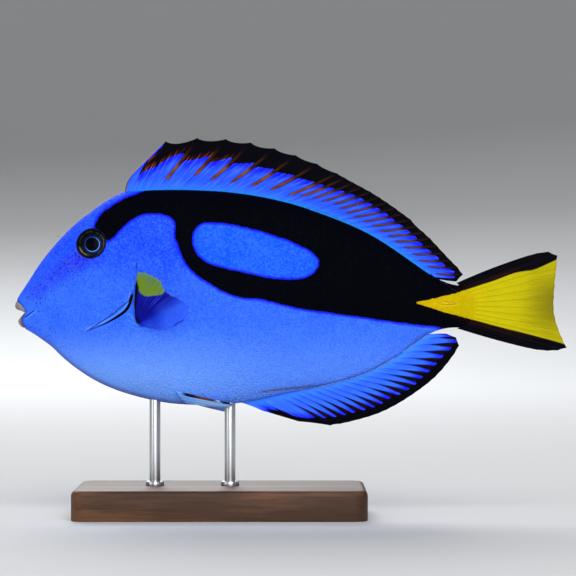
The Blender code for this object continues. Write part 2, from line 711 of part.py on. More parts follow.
def make_stand(oak, steel):
    """A flat bevelled base and two short rods up into the belly."""
    bpy.ops.mesh.primitive_cube_add(size=1.0)
    base = bpy.context.object
    base.name = "stand_base"
    for vertex in base.data.vertices:
        vertex.co.x = (vertex.co.x * BASE_SIZE[0] + BASE_CENTRE_X) * MM
        vertex.co.y = vertex.co.y * BASE_SIZE[1] * MM
        vertex.co.z = (vertex.co.z + 0.5) * BASE_SIZE[2] * MM
    shape = bmesh.new()
    shape.from_mesh(base.data)
    upright = [e for e in shape.edges if abs(e.verts[0].co.z - e.verts[1].co.z) > MM]
    corner = BASE_CORNER * MM
    bmesh.ops.bevel(shape, geom=upright, offset=corner, segments=5, affect="EDGES", profile=0.5)
    top = max(shape.faces, key=lambda face: face.calc_center_median().z)
    rim = list(top.edges)
    soft = BASE_BEVEL * MM
    bmesh.ops.bevel(shape, geom=rim, offset=soft, segments=3, affect="EDGES", profile=0.5)
    shape.to_mesh(base.data)
    shape.free()
    base_top = BASE_SIZE[2] - MOUTH_HEIGHT
    holes = []
    for name, x in ROD_X.items():
        low = base_top - ROD_IN_BASE
        high = float(belly(x)) + ROD_IN_BODY
        finish(rod_shape(name, x, low, high, ROD_RADIUS), steel)
        holes.append(rod_hole(name + "_hole", x, low - GAP, base_top + CUT_PAST))
    finish(combine(base, holes, "DIFFERENCE"), oak, 30.0)


def make_body(flesh, cover, bone):
    """Head, lower jaw, torso and tail stalk, cut from the one body."""
    head = body_loft("head", HEAD_RIBS, HEAD_SIDES)
    combine(head, [region("front", GILL_LINE, True)], "INTERSECT")
    jaw = body_loft("lower_jaw", (0.0, 7.0, 15), HEAD_SIDES)
    combine(jaw, [jaw_region("jaw", 0.0)], "INTERSECT")
    combine(jaw, [mouth_wedge()], "DIFFERENCE")
    cutters = [jaw_region("jaw", GAP), mouth_wedge()]
    for side in (1.0, -1.0):
        cutters.append(make_eye("socket", side, GAP))
        cutters.append(gill_cover("seat", side, None, cutter=True))
        cutters += [nostril_cutter(side, *nostril) for nostril in NOSTRILS]
    combine(head, cutters, "DIFFERENCE")
    torso = body_loft("torso", TRUNK_RIBS, TRUNK_SIDES)
    combine(torso, [region("behind", shifted(GILL_LINE, GAP), False)], "INTERSECT")
    combine(torso, [region("before", shifted(STALK_LINE, -GAP), True)], "INTERSECT")
    holes = []
    for name, x in ROD_X.items():
        foot = float(belly(x))
        holes.append(rod_hole(name, x, foot - CUT_PAST, foot + ROD_IN_BODY + GAP))
    combine(torso, holes, "DIFFERENCE")
    stalk = body_loft("tail_stalk", TRUNK_RIBS, TRUNK_SIDES)
    combine(stalk, [region("behind", STALK_LINE, False)], "INTERSECT")
    combine(stalk, [region("before", TAIL_ROOT_LINE, True)], "INTERSECT")
    grooves = [make_tail_spine("groove", side, GAP) for side in (1.0, -1.0)]
    combine(stalk, grooves, "DIFFERENCE")
    for thing in (head, jaw, torso, stalk):
        finish(thing, flesh)
    for word, side in (("left", 1.0), ("right", -1.0)):
        finish(gill_cover("gill_cover_" + word, side, cover), cover)
        make_tail_spine("tail_spine_" + word, side, 0.0, bone)


def main():
    clear_scene()
    flesh = principled("flesh_blue", FLESH_BLUE, 0.4)
    cover = principled("cover_blue", FLESH_BLUE, 0.4)
    fin = principled("fin_blue", FIN_BLUE, 0.45)
    yellow = principled("tail_yellow", TAIL_YELLOW, 0.45)
    pale = principled("pale_blue", PALE_BLUE, 0.45)
    eye = principled("eye_black", EYE_BLACK, 0.08)
    bone = principled("bone", BONE, 0.4)
    make_body(flesh, cover, bone)
    make_dorsal_fin(fin)
    make_anal_fin(fin)
    make_tail_fin(yellow)
    for word, side in (("left", 1.0), ("right", -1.0)):
        finish(make_eye("eye_" + word, side), eye, 60.0)
        make_pectoral_fin("pectoral_fin_" + word, side, fin)
        drop = PELVIC_RIGHT_DROP if side < 0 else 0.0
        make_pelvic_fin("pelvic_fin_" + word, side, drop, pale)
    make_stand(principled("oak", OAK, 0.55), principled("steel", STEEL, 0.3, 1.0))


main()
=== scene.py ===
"""The looks of a regal blue tang, as a life-size museum model on a display stand.

Sizes are in millimetres unless a name says otherwise. In the fish's own side view x
runs back from the tip of the snout, z runs up from the middle of the mouth, and y is
across the fish, with the left side at minus y.
"""

import math

import bmesh
import bpy
import numpy as np
from mathutils import Matrix, Vector


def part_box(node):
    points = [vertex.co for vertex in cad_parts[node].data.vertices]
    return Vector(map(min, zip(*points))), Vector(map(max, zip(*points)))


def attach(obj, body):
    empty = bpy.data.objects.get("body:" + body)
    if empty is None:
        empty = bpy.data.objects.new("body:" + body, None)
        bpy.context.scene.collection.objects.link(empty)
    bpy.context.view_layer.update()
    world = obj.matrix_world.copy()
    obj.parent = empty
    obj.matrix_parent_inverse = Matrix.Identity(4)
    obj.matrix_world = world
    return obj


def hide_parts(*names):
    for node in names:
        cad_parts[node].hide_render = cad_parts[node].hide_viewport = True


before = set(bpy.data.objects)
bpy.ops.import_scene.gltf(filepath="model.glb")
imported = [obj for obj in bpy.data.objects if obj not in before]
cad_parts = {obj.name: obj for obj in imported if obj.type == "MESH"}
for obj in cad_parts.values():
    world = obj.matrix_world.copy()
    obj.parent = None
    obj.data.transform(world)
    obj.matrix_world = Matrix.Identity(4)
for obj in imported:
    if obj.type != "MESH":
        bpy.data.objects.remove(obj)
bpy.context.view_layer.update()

bl_info = {
    "name": "Regal Blue Tang Model",
    "version": (1, 0, 0),
    "blender": (4, 5, 0),
    "location": "View3D > Sidebar > Blue Tang",
    "description": "Skin, scales, fins, eyes and stand of a regal blue tang",
    "category": "Mesh",
}

MM = 0.001
TO_METRES = Matrix.Scale(MM, 4)
SNOUT_TO_ORIGIN = 110.4
MOUTH_HEIGHT = 84.6
MIDDLE_Z = MOUTH_HEIGHT * MM
BODY = "root"
SIDES = (("left", 1.0), ("right", -1.0))
FLESH_NODES = ("head", "lower_jaw", "gill_cover_left", "gill_cover_right", "torso", "tail_stalk")

# Ribs of the skin, from inside the mouth to the tail: x and z of the top, x and z of the
# foot, half width, and x and z of the side. Where the side is left out it lies half way.
MOUTH_RIBS = (
    (5.6, -3.2, 5.8, -4.3, 0.9, 6.6, -3.6),
    (2.8, -2.7, 3.5, -5.0, 2.0, 5.3, -3.5),
    (1.0, -2.3, 2.3, -5.7, 2.9, 4.6, -3.4),
    (0.35, -1.7, 1.6, -6.3, 3.4, 4.2, -3.3),
    (0.22, -0.6, 1.5, -7.3, 4.0, 4.5, -3.2),
    (0.5, 0.9, 2.1, -8.4, 4.4, 4.9, -3.0),
    (1.0, 2.3, 3.0, -9.2, 4.7, 5.3, -2.8),
    (2.2, 4.3, 4.3, -10.1, 5.0, 5.8, -2.5),
    (3.9, 6.8, 5.9, -11.0, 5.3, 6.6, -1.9),
    (6.6, 11.0, 8.5, -12.6, 5.9, 8.2, -0.9),
)
BODY_RIBS = (
    (10.0, 16.2, 11.3, -14.6, 7.1),
    (14.0, 21.4, 14.7, -17.1, 8.2),
    (18.0, 26.0, 18.3, -20.6, 9.2),
    (22.0, 30.1, 22.0, -23.8, 10.0),
    (26.0, 33.6, 26.0, -26.8, 10.9),
    (30.0, 36.7, 30.0, -29.4, 11.7),
    (34.0, 39.6, 34.0, -31.6, 12.4),
    (38.5, 42.4, 38.5, -33.6, 13.1),
    (44.0, 44.9, 44.0, -35.6, 13.8),
    (52.0, 45.8, 52.0, -37.8, 14.4),
    (62.0, 46.0, 62.0, -39.7, 14.6),
    (74.0, 45.9, 74.0, -40.4, 14.2),
    (86.0, 45.2, 86.0, -40.0, 13.3),
    (96.0, 43.9, 96.0, -38.6, 12.3),
    (106.0, 41.9, 106.0, -36.3, 11.2),
    (118.0, 38.5, 118.0, -33.9, 9.9),
    (130.0, 34.2, 130.0, -31.2, 8.5),
    (142.0, 28.4, 142.0, -27.0, 6.9),
    (152.0, 22.3, 152.0, -21.6, 5.4),
    (160.0, 16.7, 160.0, -15.8, 4.3),
    (166.0, 12.3, 166.0, -11.9, 3.6),
    (171.0, 9.2, 171.0, -10.0, 3.0),
    (177.0, 7.5, 177.0, -9.3, 2.3),
    (184.0, 8.0, 184.0, -9.9, 1.3),
    (190.0, 9.0, 190.0, -10.8, 1.0),
)
LIP_CREST_RIB = 3
LAST_RIB = 33.6
SECTION_POWER = 1.03
BACK_SHARPNESS = 0.09
SKIN_INSET = 0.08
TAIL_ROUNDING = 7.0

# Side view outlines of the markings.
STRIPE_OUTLINE = (
    (33.2, 29.0), (32.0, 31.2), (33.4, 34.2), (36.0, 37.3), (40.0, 39.9), (44.0, 42.2), (50.0, 44.5),
    (56.0, 47.0), (70.0, 52.0), (120.0, 46.0), (150.0, 32.0), (196.0, 12.0), (200.0, 0.0), (196.0, -14.0),
    (176.0, -13.0), (170.0, -9.4), (158.0, -8.0), (142.0, -5.6), (126.0, -3.5), (112.0, -1.4),
    (99.6, 1.7), (90.2, 2.8), (83.6, 5.0), (76.4, 9.2), (71.9, 12.4), (68.0, 17.1), (65.6, 22.4),
    (64.0, 28.0), (64.3, 32.2), (61.6, 35.2), (56.0, 36.4), (50.0, 35.6), (44.8, 32.4), (41.2, 28.8),
    (38.8, 26.4), (36.4, 25.6),
)
OVAL_OUTLINE = (
    (77.0, 32.7), (84.0, 32.3), (92.4, 30.6), (104.0, 27.4), (114.0, 23.4), (119.4, 20.2),
    (121.6, 16.4), (119.6, 12.4), (114.0, 10.0), (104.0, 10.0), (92.0, 12.4), (80.2, 15.2),
    (74.6, 18.0), (71.4, 22.6), (71.2, 28.0), (73.4, 31.6),
)
YELLOW_OUTLINE = (
    (160.4, 0.6), (166.0, 1.9), (172.0, 3.2), (180.0, 5.6), (190.0, 8.8), (200.0, 12.4), (208.0, 13.9),
    (217.6, 18.2), (226.0, 22.0), (228.0, 0.0), (226.0, -19.0), (219.6, -16.0), (212.0, -13.8),
    (202.0, -11.2), (192.0, -8.7), (182.0, -6.0), (172.0, -3.4), (165.0, -1.1),
)
LIP_OUTLINE = (
    (-1.5, 1.4), (0.6, 1.0), (2.0, 0.2), (3.3, -1.2), (4.4, -2.9), (3.7, -4.0), (3.1, -5.6), (3.1, -7.6),
    (3.7, -9.5), (-1.5, -10.5),
)
GILL_MARGIN = (
    (46.8, 23.6), (48.5, 17.5), (48.4, 11.5), (47.4, 6.4), (46.6, 3.3), (45.7, -0.1), (44.0, -2.7),
    (40.6, -5.2), (36.0, -7.8), (32.6, -9.2), (29.2, -10.7),
)
GILL_FOLD = ((46.0, 2.8), (45.2, 1.0), (41.7, -1.8), (38.3, -4.7), (33.7, -7.6), (30.3, -9.8))
SHOULDER_MARK = ((48.6, 16.4), (48.6, 14.0))
CHEEK_LINE = (
    (43.0, 22.0), (39.4, 17.0), (37.2, 11.0), (35.6, 5.0), (33.0, -0.4), (29.0, -5.6), (24.0, -9.6),
)
VIOLET_LINE = ((30.0, 20.0), (23.0, 16.0), (15.0, 10.6), (8.0, 5.0))
ROOT_FOLDS = (
    ((44.4, -3.6), (46.6, -5.0), (48.0, -6.8)),
    ((44.8, -5.8), (46.4, -7.2), (49.4, -8.6)),
    ((47.2, -9.6), (50.4, -10.0), (54.0, -8.8)),
)
LIP_CREASE = ((7.4, -2.9), (6.2, -3.7), (5.2, -4.5), (4.2, -5.3))
PORES = (
    (24.2, 20.3, 0.34), (25.7, 19.0, 0.34), (27.5, 17.8, 0.3), (24.3, 16.1, 0.3), (16.2, 20.5, 0.2),
    (21.7, 18.3, 0.22), (18.3, 17.0, 0.18), (19.8, 16.2, 0.24), (21.6, 16.2, 0.2), (27.0, 15.6, 0.22),
    (16.2, 15.0, 0.18), (18.0, 14.3, 0.26), (25.2, 14.1, 0.18), (26.9, 13.5, 0.18), (15.6, 12.6, 0.26),
    (21.1, 13.1, 0.24), (22.9, 13.1, 0.24), (17.7, 12.2, 0.18), (25.1, 11.6, 0.16), (14.5, 10.1, 0.26),
    (19.1, 10.5, 0.2), (23.1, 10.1, 0.2), (10.2, 7.8, 0.18), (19.3, 7.8, 0.2), (23.5, 7.7, 0.2),
    (20.8, 6.8, 0.18), (10.0, 2.5, 0.22), (12.2, 2.4, 0.18), (10.1, 0.4, 0.2), (8.6, 0.4, 0.18),
    (9.5, -3.0, 0.2), (19.7, 25.8, 0.16), (17.3, 27.0, 0.14),
)
DORSAL_BASE_LINE = (
    (44.4, 44.7), (52.0, 45.7), (62.0, 46.0), (74.0, 45.8), (87.0, 44.9), (102.0, 42.5), (118.0, 38.1),
    (142.0, 28.2), (166.0, 12.2),
)
ANAL_BASE_LINE = (
    (98.4, -35.4), (106.0, -34.4), (119.3, -33.1), (127.3, -32.0), (136.7, -29.1), (142.7, -26.7),
    (149.3, -23.1), (156.0, -19.1), (159.3, -15.7), (164.7, -12.1),
)

# Eye, nostrils and tail spine.
EYE_CENTRE = (31.0, 24.2)
EYE_RADIUS = 5.8
SOCKET_DEPTH = 2.6
EYE_PROUD = 1.5
IRIS_SEEN = (30.6, 24.2)
PUPIL_SEEN = (30.9, 23.9)
PUPIL_RADIUS = 2.7
EYE_HALF_DEPTH = 3.0
EYE_RIM_GAP = 0.12
EYE_RIM_THICKNESS = 0.38
NOSTRILS = ((21.4, 22.2, 0.62), (19.8, 20.7, 0.46))
SPINE_FRONT_X = 168.6
SPINE_REAR_X = 176.4
SPINE_MIDDLE_X = (SPINE_FRONT_X + SPINE_REAR_X) / 2.0
SPINE_Z = 0.2
SPINE_GROOVE = (4.4, 0.9)

# Pores and scales. A scale's outline and heights are shares of its length and lift.
PORE_LIFT = 0.14
PORE_GROWTH = 1.35
PORE_HALF_DEPTH = 0.07
SCALE_OUTLINE = ((0.0, -0.55), (-0.52, -0.12), (-0.36, 0.46), (0.36, 0.46), (0.52, -0.12))
SCALE_HEIGHTS = (-0.3, 0.2, 1.0, 1.0, 0.2)
SCALE_CENTRE_HEIGHT = 1.15
SCALE_SINK = 0.12
SCALE_GROWTH = 1.14
SCALE_SPACING = 0.86
SCALE_SEED = 11
HEAD_COAT_END_X = 40.0
REAR_COAT_START_X = 92.0
SPINE_CLEARING = (4.8, 0.9)
BAKE_PATCH = 0.003

# Dorsal fin: feet and tips of its spines, then the edge of its soft part.
DORSAL_SPINE_FEET = (44.0, 50.0, 56.6, 66.0, 73.4, 81.4, 90.0, 97.4, 105.0)
DORSAL_SPINE_TIPS = (
    (47.4, 52.2), (60.4, 65.1), (73.0, 66.4), (84.4, 66.0), (94.4, 64.6), (103.8, 62.3),
    (112.4, 59.5), (120.8, 56.1), (128.8, 52.3),
)
DORSAL_SOFT_EDGE = (
    (128.8, 52.3), (134.4, 49.1), (142.4, 44.8), (150.4, 39.6), (156.4, 35.2), (159.6, 32.7),
    (161.4, 30.0), (163.7, 28.5), (167.2, 25.1), (172.8, 19.0), (177.4, 14.4), (179.2, 12.4),
    (178.4, 10.4), (176.6, 9.0),
)
DORSAL_LAST_FOOT = 168.8
DORSAL_SOFT_RAYS = 18
DORSAL_ROWS = 32
DORSAL_SAGS = (0.1, 1.9, 1.4, 1.2, 1.2, 0.9, 0.7, 0.6)
DORSAL_SOFT_SAG = 0.2
DORSAL_FIRST_BOW = 0.1
DORSAL_BOW = -0.02
DORSAL_LOBE_DROPS = (0.0, 0.6, 4.8, 4.4, 3.8, 2.4, 1.6, 1.0)
DORSAL_LOBE_LINE = (
    (50.0, 51.0), (53.0, 53.6), (65.2, 60.4), (75.4, 59.8), (86.0, 59.2), (94.4, 57.4), (102.6, 54.8),
    (110.8, 52.2), (117.8, 49.8), (124.6, 47.4), (130.4, 45.7), (135.2, 44.0), (139.3, 42.1),
    (143.0, 39.9), (146.6, 37.7), (149.8, 35.5), (152.2, 33.4), (155.3, 31.2), (159.9, 27.5),
    (164.1, 22.9), (168.0, 20.0), (171.3, 16.4), (173.3, 14.7), (176.0, 13.0),
)
DORSAL_STREAK_LINE = (
    (50.0, 50.6), (59.0, 49.6), (70.2, 51.6), (77.0, 49.8), (85.5, 48.6), (93.5, 47.4), (101.5, 46.0),
    (109.2, 43.6), (117.3, 43.0), (121.6, 41.6), (127.0, 40.4), (130.0, 38.0), (133.8, 35.8),
    (138.1, 33.8), (141.5, 32.4), (144.4, 30.2), (147.6, 28.5), (150.2, 26.6), (152.7, 24.4),
    (155.8, 22.7), (157.8, 21.0), (160.2, 19.0), (161.6, 17.4), (164.0, 15.9), (165.8, 14.4),
    (168.2, 13.0),
)

# Anal fin: feet and tips of its spines, then the edge of its soft part.
ANAL_SPINE_FEET = (90.5, 97.0, 104.5)
ANAL_SPINE_TIPS = ((98.8, -42.6), (113.6, -47.0), (126.3, -48.6))
ANAL_SOFT_EDGE = (
    (126.3, -48.6), (132.7, -47.4), (142.7, -44.7), (149.3, -42.0), (156.0, -38.2), (162.7, -33.6),
    (168.7, -28.6), (174.0, -22.4), (177.4, -17.2), (177.6, -14.8), (176.0, -13.1), (172.7, -11.9),
)
ANAL_LAST_FOOT = 165.6
ANAL_SOFT_RAYS = 18
ANAL_ROWS = 28
ANAL_SAGS = (0.0, 0.5, 0.4)
ANAL_SOFT_SAG = 0.12
ANAL_BOW = 0.02
ANAL_LOBE_LINE = (
    (100.0, -42.0), (106.0, -43.2), (112.0, -45.2), (122.0, -45.8), (130.4, -44.7), (135.9, -43.2),
    (141.1, -41.9), (145.4, -40.4), (148.8, -38.2), (152.8, -36.4), (156.4, -34.6), (159.5, -32.4),
    (162.0, -30.0), (164.4, -27.8), (166.6, -26.0), (168.4, -23.8), (169.9, -22.3), (171.4, -20.5),
    (173.0, -19.0), (174.2, -17.7), (175.4, -16.5), (176.6, -14.8),
)
ANAL_STREAK_LINE = (
    (100.6, -41.2), (103.8, -42.2), (108.7, -39.8), (115.1, -39.5), (120.3, -38.2), (124.6, -37.3),
    (129.5, -36.4), (135.0, -35.4), (138.0, -34.0), (142.4, -32.1), (144.8, -30.0), (147.9, -27.8),
    (150.9, -26.9), (154.0, -25.1), (156.4, -23.2), (158.8, -21.4), (161.4, -19.6), (163.2, -18.0),
    (165.0, -16.2), (167.5, -15.0), (169.4, -13.6),
)

# Tail fin.
TAIL_ROOT_LINE = ((178.0, 8.4), (182.8, 4.4), (184.6, -1.0), (182.8, -6.2), (178.4, -9.8))
TAIL_EDGE = (
    (205.0, 19.3), (210.0, 20.6), (214.6, 20.9), (217.1, 19.2), (216.8, 15.6), (216.2, 10.6),
    (215.8, 5.0), (215.5, -1.0), (216.0, -5.4), (217.2, -9.4), (219.0, -13.9), (220.7, -17.8),
    (216.6, -18.6), (210.6, -18.6), (204.6, -17.5),
)
TAIL_RAYS = 17
TAIL_ROWS = 36
TAIL_SAG = 0.3
TAIL_BOWS = (0.015, -0.01)
TAIL_ROOT_DEPTH = 1.4

# Pectoral fin: side view tips of its rays, each with how far it stands off the flank.
PECTORAL_ROOT = ((48.3, -6.0), (48.9, -7.6), (50.8, -8.8))
PECTORAL_TIPS = (
    (49.2, 13.0, 7.4), (52.0, 12.7, 8.0), (54.6, 11.6, 8.2), (56.9, 10.5, 8.2), (58.5, 9.0, 8.0),
    (59.4, 6.4, 7.6), (61.4, 4.0, 7.2), (64.6, 2.6, 7.0), (67.4, 1.0, 6.6), (69.2, -1.0, 6.2),
    (69.6, -3.4, 5.6), (67.4, -6.6, 4.8), (64.2, -8.6, 4.0), (60.4, -10.3, 3.2),
)
PECTORAL_BOWS = (-0.8, 0.5)
PECTORAL_SAG = 0.4
PECTORAL_ROWS = 28
PECTORAL_CURL = 1.5
PECTORAL_PATCH = (
    (48.0, 14.5), (53.0, 14.5), (57.5, 13.0), (60.6, 9.0), (59.6, 4.4), (56.8, 3.6), (53.2, 3.2),
    (51.0, 3.8), (49.4, 6.0), (48.2, 9.0),
)

# Pelvic fins: root points on the belly in side view, and tips in space on the left side.
PELVIC_ROOTS = ((64.8, -34.2), (65.6, -35.6), (66.8, -37.0), (68.2, -38.2))
PELVIC_TIPS = ((85.6, -7.9, -39.3), (87.0, -7.2, -39.9), (86.4, -6.2, -40.7), (83.4, -5.2, -41.2))
PELVIC_RIGHT_DROP = 1.9
PELVIC_ROWS = 24

# Fin thicknesses.
GAP = 0.3
ROOT_THICKNESS = 1.3
PELVIC_THICKNESS = 1.0
RAY_TIP_THICKNESS = 0.5
WEB_ROOT_THICKNESS = 0.8
WEB_THICKNESS = 0.3
SIDEWAYS = np.array((0.0, 1.0, 0.0))

# Stand.
ROD_X = {"front": 56.0, "rear": 86.0}
ROD_RADIUS = 2.2
ROD_IN_BASE = 8.0
ROD_IN_BODY = 6.0
BASE_TOP = 12.0
CORNER_ROUND = 6.0
TOP_ROUND = 2.2
FOOT_ROUND = 0.5
ROD_ROUND = 0.4
ROD_SLACK = 0.3
ROD_GAP = 0.02
COLLAR_HEIGHT = 1.8
COLLAR_WIDTH = 1.5
COLLAR_SINK = 0.4
COLLAR_ROUND = 0.5

# Studio: floor in metres, and each light's name, place, size, power and colour.
FLOOR_RADIUS = 4.6
WALL_HEIGHT = 6.0
WALL_BEND = 2.8
FLOOR_COLOUR = (0.6, 0.61, 0.62)
WORLD_COLOUR = (0.86, 0.88, 0.9)
WORLD_STRENGTH = 0.28
AIM = (0.0, 0.0, 0.085)
LIGHTS = (
    ("key", (0.4, -1.9, 1.6), 1.4, 38.0, (1.0, 0.99, 0.97)),
    ("low_fill", (0.3, -2.2, 0.3), 1.2, 25.0, (0.97, 0.98, 1.0)),
    ("front", (-1.6, -1.2, 0.5), 1.2, 10.0, (0.97, 0.98, 1.0)),
    ("rear", (-0.4, 1.9, 1.6), 1.4, 30.0, (1.0, 1.0, 1.0)),
    ("rear_fill", (-0.3, 2.2, 1.2), 1.0, 16.0, (0.97, 0.98, 1.0)),
)

# Camera.
VIEW_CENTRE_X = -0.0012
VIEW_CENTRE_Z = 0.0910
VIEW_WIDTH = 0.2304
LENS_MM = 200.0
SENSOR_MM = 36.0
VIEW_DISTANCE = VIEW_WIDTH * LENS_MM / SENSOR_MM / MM
VIEW_X = VIEW_CENTRE_X / MM + SNOUT_TO_ORIGIN
VIEW_Z = VIEW_CENTRE_Z / MM - MOUTH_HEIGHT


def srgb(red, green, blue):
    """A display colour of 0 to 255 as linear light."""
    shares = (value / 255.0 for value in (red, green, blue))
    return tuple(c / 12.92 if c <= 0.04045 else ((c + 0.055) / 1.055) ** 2.4 for c in shares)


def colour_property(name, description, colour):
    """A colour that a user would change."""
    return bpy.props.FloatVectorProperty(
        name=name, description=description, subtype="COLOR", size=3, min=0.0, max=1.0, default=colour)


class BlueTangSizes(bpy.types.PropertyGroup):
    """Sizes of the skin's and the scales' detail."""

    scale_length: bpy.props.FloatProperty(
        name="Scale length", description="Length of a scale on the flank",
        default=0.00085, min=0.0005, max=0.003, unit="LENGTH")
    scale_lift: bpy.props.FloatProperty(
        name="Scale lift", description="Height of a scale's free edge over the skin",
        default=0.00004, min=0.0, max=0.0003, unit="LENGTH")
    skin_rings: bpy.props.IntProperty(
        name="Skin rings", description="Rings of points from the mouth to the tail",
        default=380, min=120, max=600)
    skin_sides: bpy.props.IntProperty(
        name="Skin sides", description="Points round each ring", default=232, min=64, max=400)
    columns_per_ray: bpy.props.IntProperty(
        name="Columns per ray", description="Points across each fin ray", default=8, min=4, max=16)


class BlueTangColours(bpy.types.PropertyGroup):
    """Colours of the fish and its stand."""

    back: colour_property("Back", "Blue of the upper flank", srgb(16, 62, 246))
    flank: colour_property("Flank", "Blue of the flank", srgb(44, 97, 250))
    belly: colour_property("Belly", "Paler blue of the belly", srgb(116, 165, 255))
    violet: colour_property("Violet", "Violet blue of the cheek and the stripe's border", srgb(22, 8, 228))
    royal: colour_property("Royal", "Blue of the patch in the stripe", srgb(12, 86, 250))
    stripe: colour_property("Stripe", "Black of the stripe", srgb(1, 1, 8))
    yellow: colour_property("Yellow", "Yellow of the tail", srgb(184, 173, 4))
    amber: colour_property("Amber", "Warmer yellow at the tail's root", srgb(202, 171, 1))
    olive: colour_property("Olive", "Green of the tail's rays", srgb(112, 116, 12))
    brown: colour_property("Brown", "Brown of the streaks in the fins", srgb(128, 76, 4))
    cyan: colour_property("Cyan", "Bright line at the dorsal fin's base", srgb(40, 160, 255))
    lips: colour_property("Lips", "Grey of the lips", srgb(150, 142, 138))
    oak: colour_property("Base", "Wood of the stand's base", srgb(96, 62, 38))


class Wire:
    """A number in a node tree: Python's operators add the Math nodes."""

    def __init__(self, paint, socket):
        self.paint = paint
        self.socket = socket

    def math(self, operation, *others):
        """A Math node with this value first."""
        return self.paint.node("ShaderNodeMath", {"operation": operation}, (self, *others))

    def __add__(self, other):
        return self.math("ADD", other)

    def __radd__(self, other):
        return self.math("ADD", other)

    def __sub__(self, other):
        return self.math("SUBTRACT", other)

    def __rsub__(self, other):
        return self.paint.node("ShaderNodeMath", {"operation": "SUBTRACT"}, (other, self))

    def __mul__(self, other):
        return self.math("MULTIPLY", other)

    def __rmul__(self, other):
        return self.math("MULTIPLY", other)

    def __abs__(self):
        return self.math("ABSOLUTE")

    def high(self, other):
        """The larger of two values."""
        return self.math("MAXIMUM", other)

    def glazed(self, share, colour):
        """This colour with another laid over a share of it."""
        return self.paint.mix(share, self, colour)

    def step(self, start, end):
        """0 before start and 1 after end, with a smooth rise between."""
        settings = {"interpolation_type": "SMOOTHSTEP"}
        if start < end:
            return self.paint.node("ShaderNodeMapRange", settings, (self, start, end, 0.0, 1.0))
        return self.paint.node("ShaderNodeMapRange", settings, (self, end, start, 1.0, 0.0))


class Paint:
    """One Principled material and the nodes that feed it."""

    def __init__(self, name):
        self.material = bpy.data.materials.new(name)
        self.material.use_nodes = True
        self.tree = self.material.node_tree
        self.shader = self.tree.nodes["Principled BSDF"]

    def node(self, kind, settings, values, output=0):
        """Add a node, set its settings, then its inputs by order or by name."""
        node = self.tree.nodes.new(kind)
        for name, value in settings.items():
            setattr(node, name, value)
        pairs = values.items() if isinstance(values, dict) else enumerate(values)
        for key, value in pairs:
            self.feed(node.inputs[key], value)
        return Wire(self, node.outputs[output])

    def feed(self, socket, value):
        """Give a socket a link, a number or a colour."""
        if isinstance(value, Wire):
            self.tree.links.new(value.socket, socket)
        elif socket.type == "RGBA":
            socket.default_value = (*value, 1.0)
        else:
            socket.default_value = value

    def set(self, **values):
        """Feed the shader's sockets; an underscore in a name stands for a space."""
        for name, value in values.items():
            self.feed(self.shader.inputs[name.replace("_", " ")], value)
        return self.material

    def attribute(self, name):
        """A number that the mesh carries at its points."""
        return self.node("ShaderNodeAttribute", {"attribute_name": name}, (), 2)

    def place(self):
        """Object coordinates."""
        return self.node("ShaderNodeTexCoord", {}, (), 3)

    def uv(self, name):
        """A UV map of the piece."""
        return self.node("ShaderNodeUVMap", {"uv_map": name}, ())

    def part(self, vector, axis):
        """One number of a vector."""
        return self.node("ShaderNodeSeparateXYZ", {}, (vector,), axis)

    def stretched(self, vector, scale):
        """A vector scaled along each axis."""
        return self.node("ShaderNodeVectorMath", {"operation": "MULTIPLY"}, (vector, scale))

    def noise(self, vector, scale, detail=3.0, rough=0.5):
        """Cloudy noise from 0 to 1."""
        values = {"Vector": vector, "Scale": scale, "Detail": detail, "Roughness": rough}
        return self.node("ShaderNodeTexNoise", {}, values)

    def cells(self, vector, scale):
        """Distance to the nearest of scattered points."""
        return self.node("ShaderNodeTexVoronoi", {"feature": "F1"}, {"Vector": vector, "Scale": scale})

    def mix(self, share, first, second):
        """A colour between two colours."""
        node = self.tree.nodes.new("ShaderNodeMix")
        node.data_type = "RGBA"
        self.feed(node.inputs[0], share)
        self.feed(node.inputs[6], first)
        self.feed(node.inputs[7], second)
        return Wire(self, node.outputs[2])

    def bump(self, height, strength, distance_mm):
        """A bumped normal from a height of 0 to 1."""
        values = {"Strength": strength, "Distance": distance_mm * MM, "Height": height}
        return self.node("ShaderNodeBump", {}, values)


def to_world(points):
    """Points in the fish's millimetres as world metres."""
    return (np.asarray(points, float) + (-SNOUT_TO_ORIGIN, 0.0, MOUTH_HEIGHT)) * MM


def smooth_rows(rows):
    """A smooth curve through numbered rows of values, read at any position."""
    rows = np.array(rows, float)
    slopes = np.gradient(rows, axis=0)

    def value(position):
        position = np.asarray(position, float)
        row = np.clip(np.floor(position).astype(int), 0, len(rows) - 2)
        t = (position - row)[..., None]
        rise = rows[row + 1] - rows[row]
        bend = (1 - t) * (slopes[row] - rise) + t * (rise - slopes[row + 1])
        return rows[row] + t * rise + t * (1 - t) * bend

    return value


def along(line, share):
    """Points at shares of the length of a line through the given points."""
    line = np.array(line, float)
    steps = np.linalg.norm(np.diff(line[:, :2], axis=0), axis=1)
    length = np.concatenate(([0.0], np.cumsum(steps)))
    position = np.interp(np.asarray(share) * length[-1], length, np.arange(len(line)))
    return smooth_rows(line)(position)


def smooth_loop(outline, steps=4):
    """A closed outline with smooth stretches between its points."""
    outline = np.array(outline, float)
    count = len(outline)
    wrapped = np.concatenate((outline[-2:], outline, outline[:3]))
    return smooth_rows(wrapped)(2.0 + np.arange(count * steps) / steps)


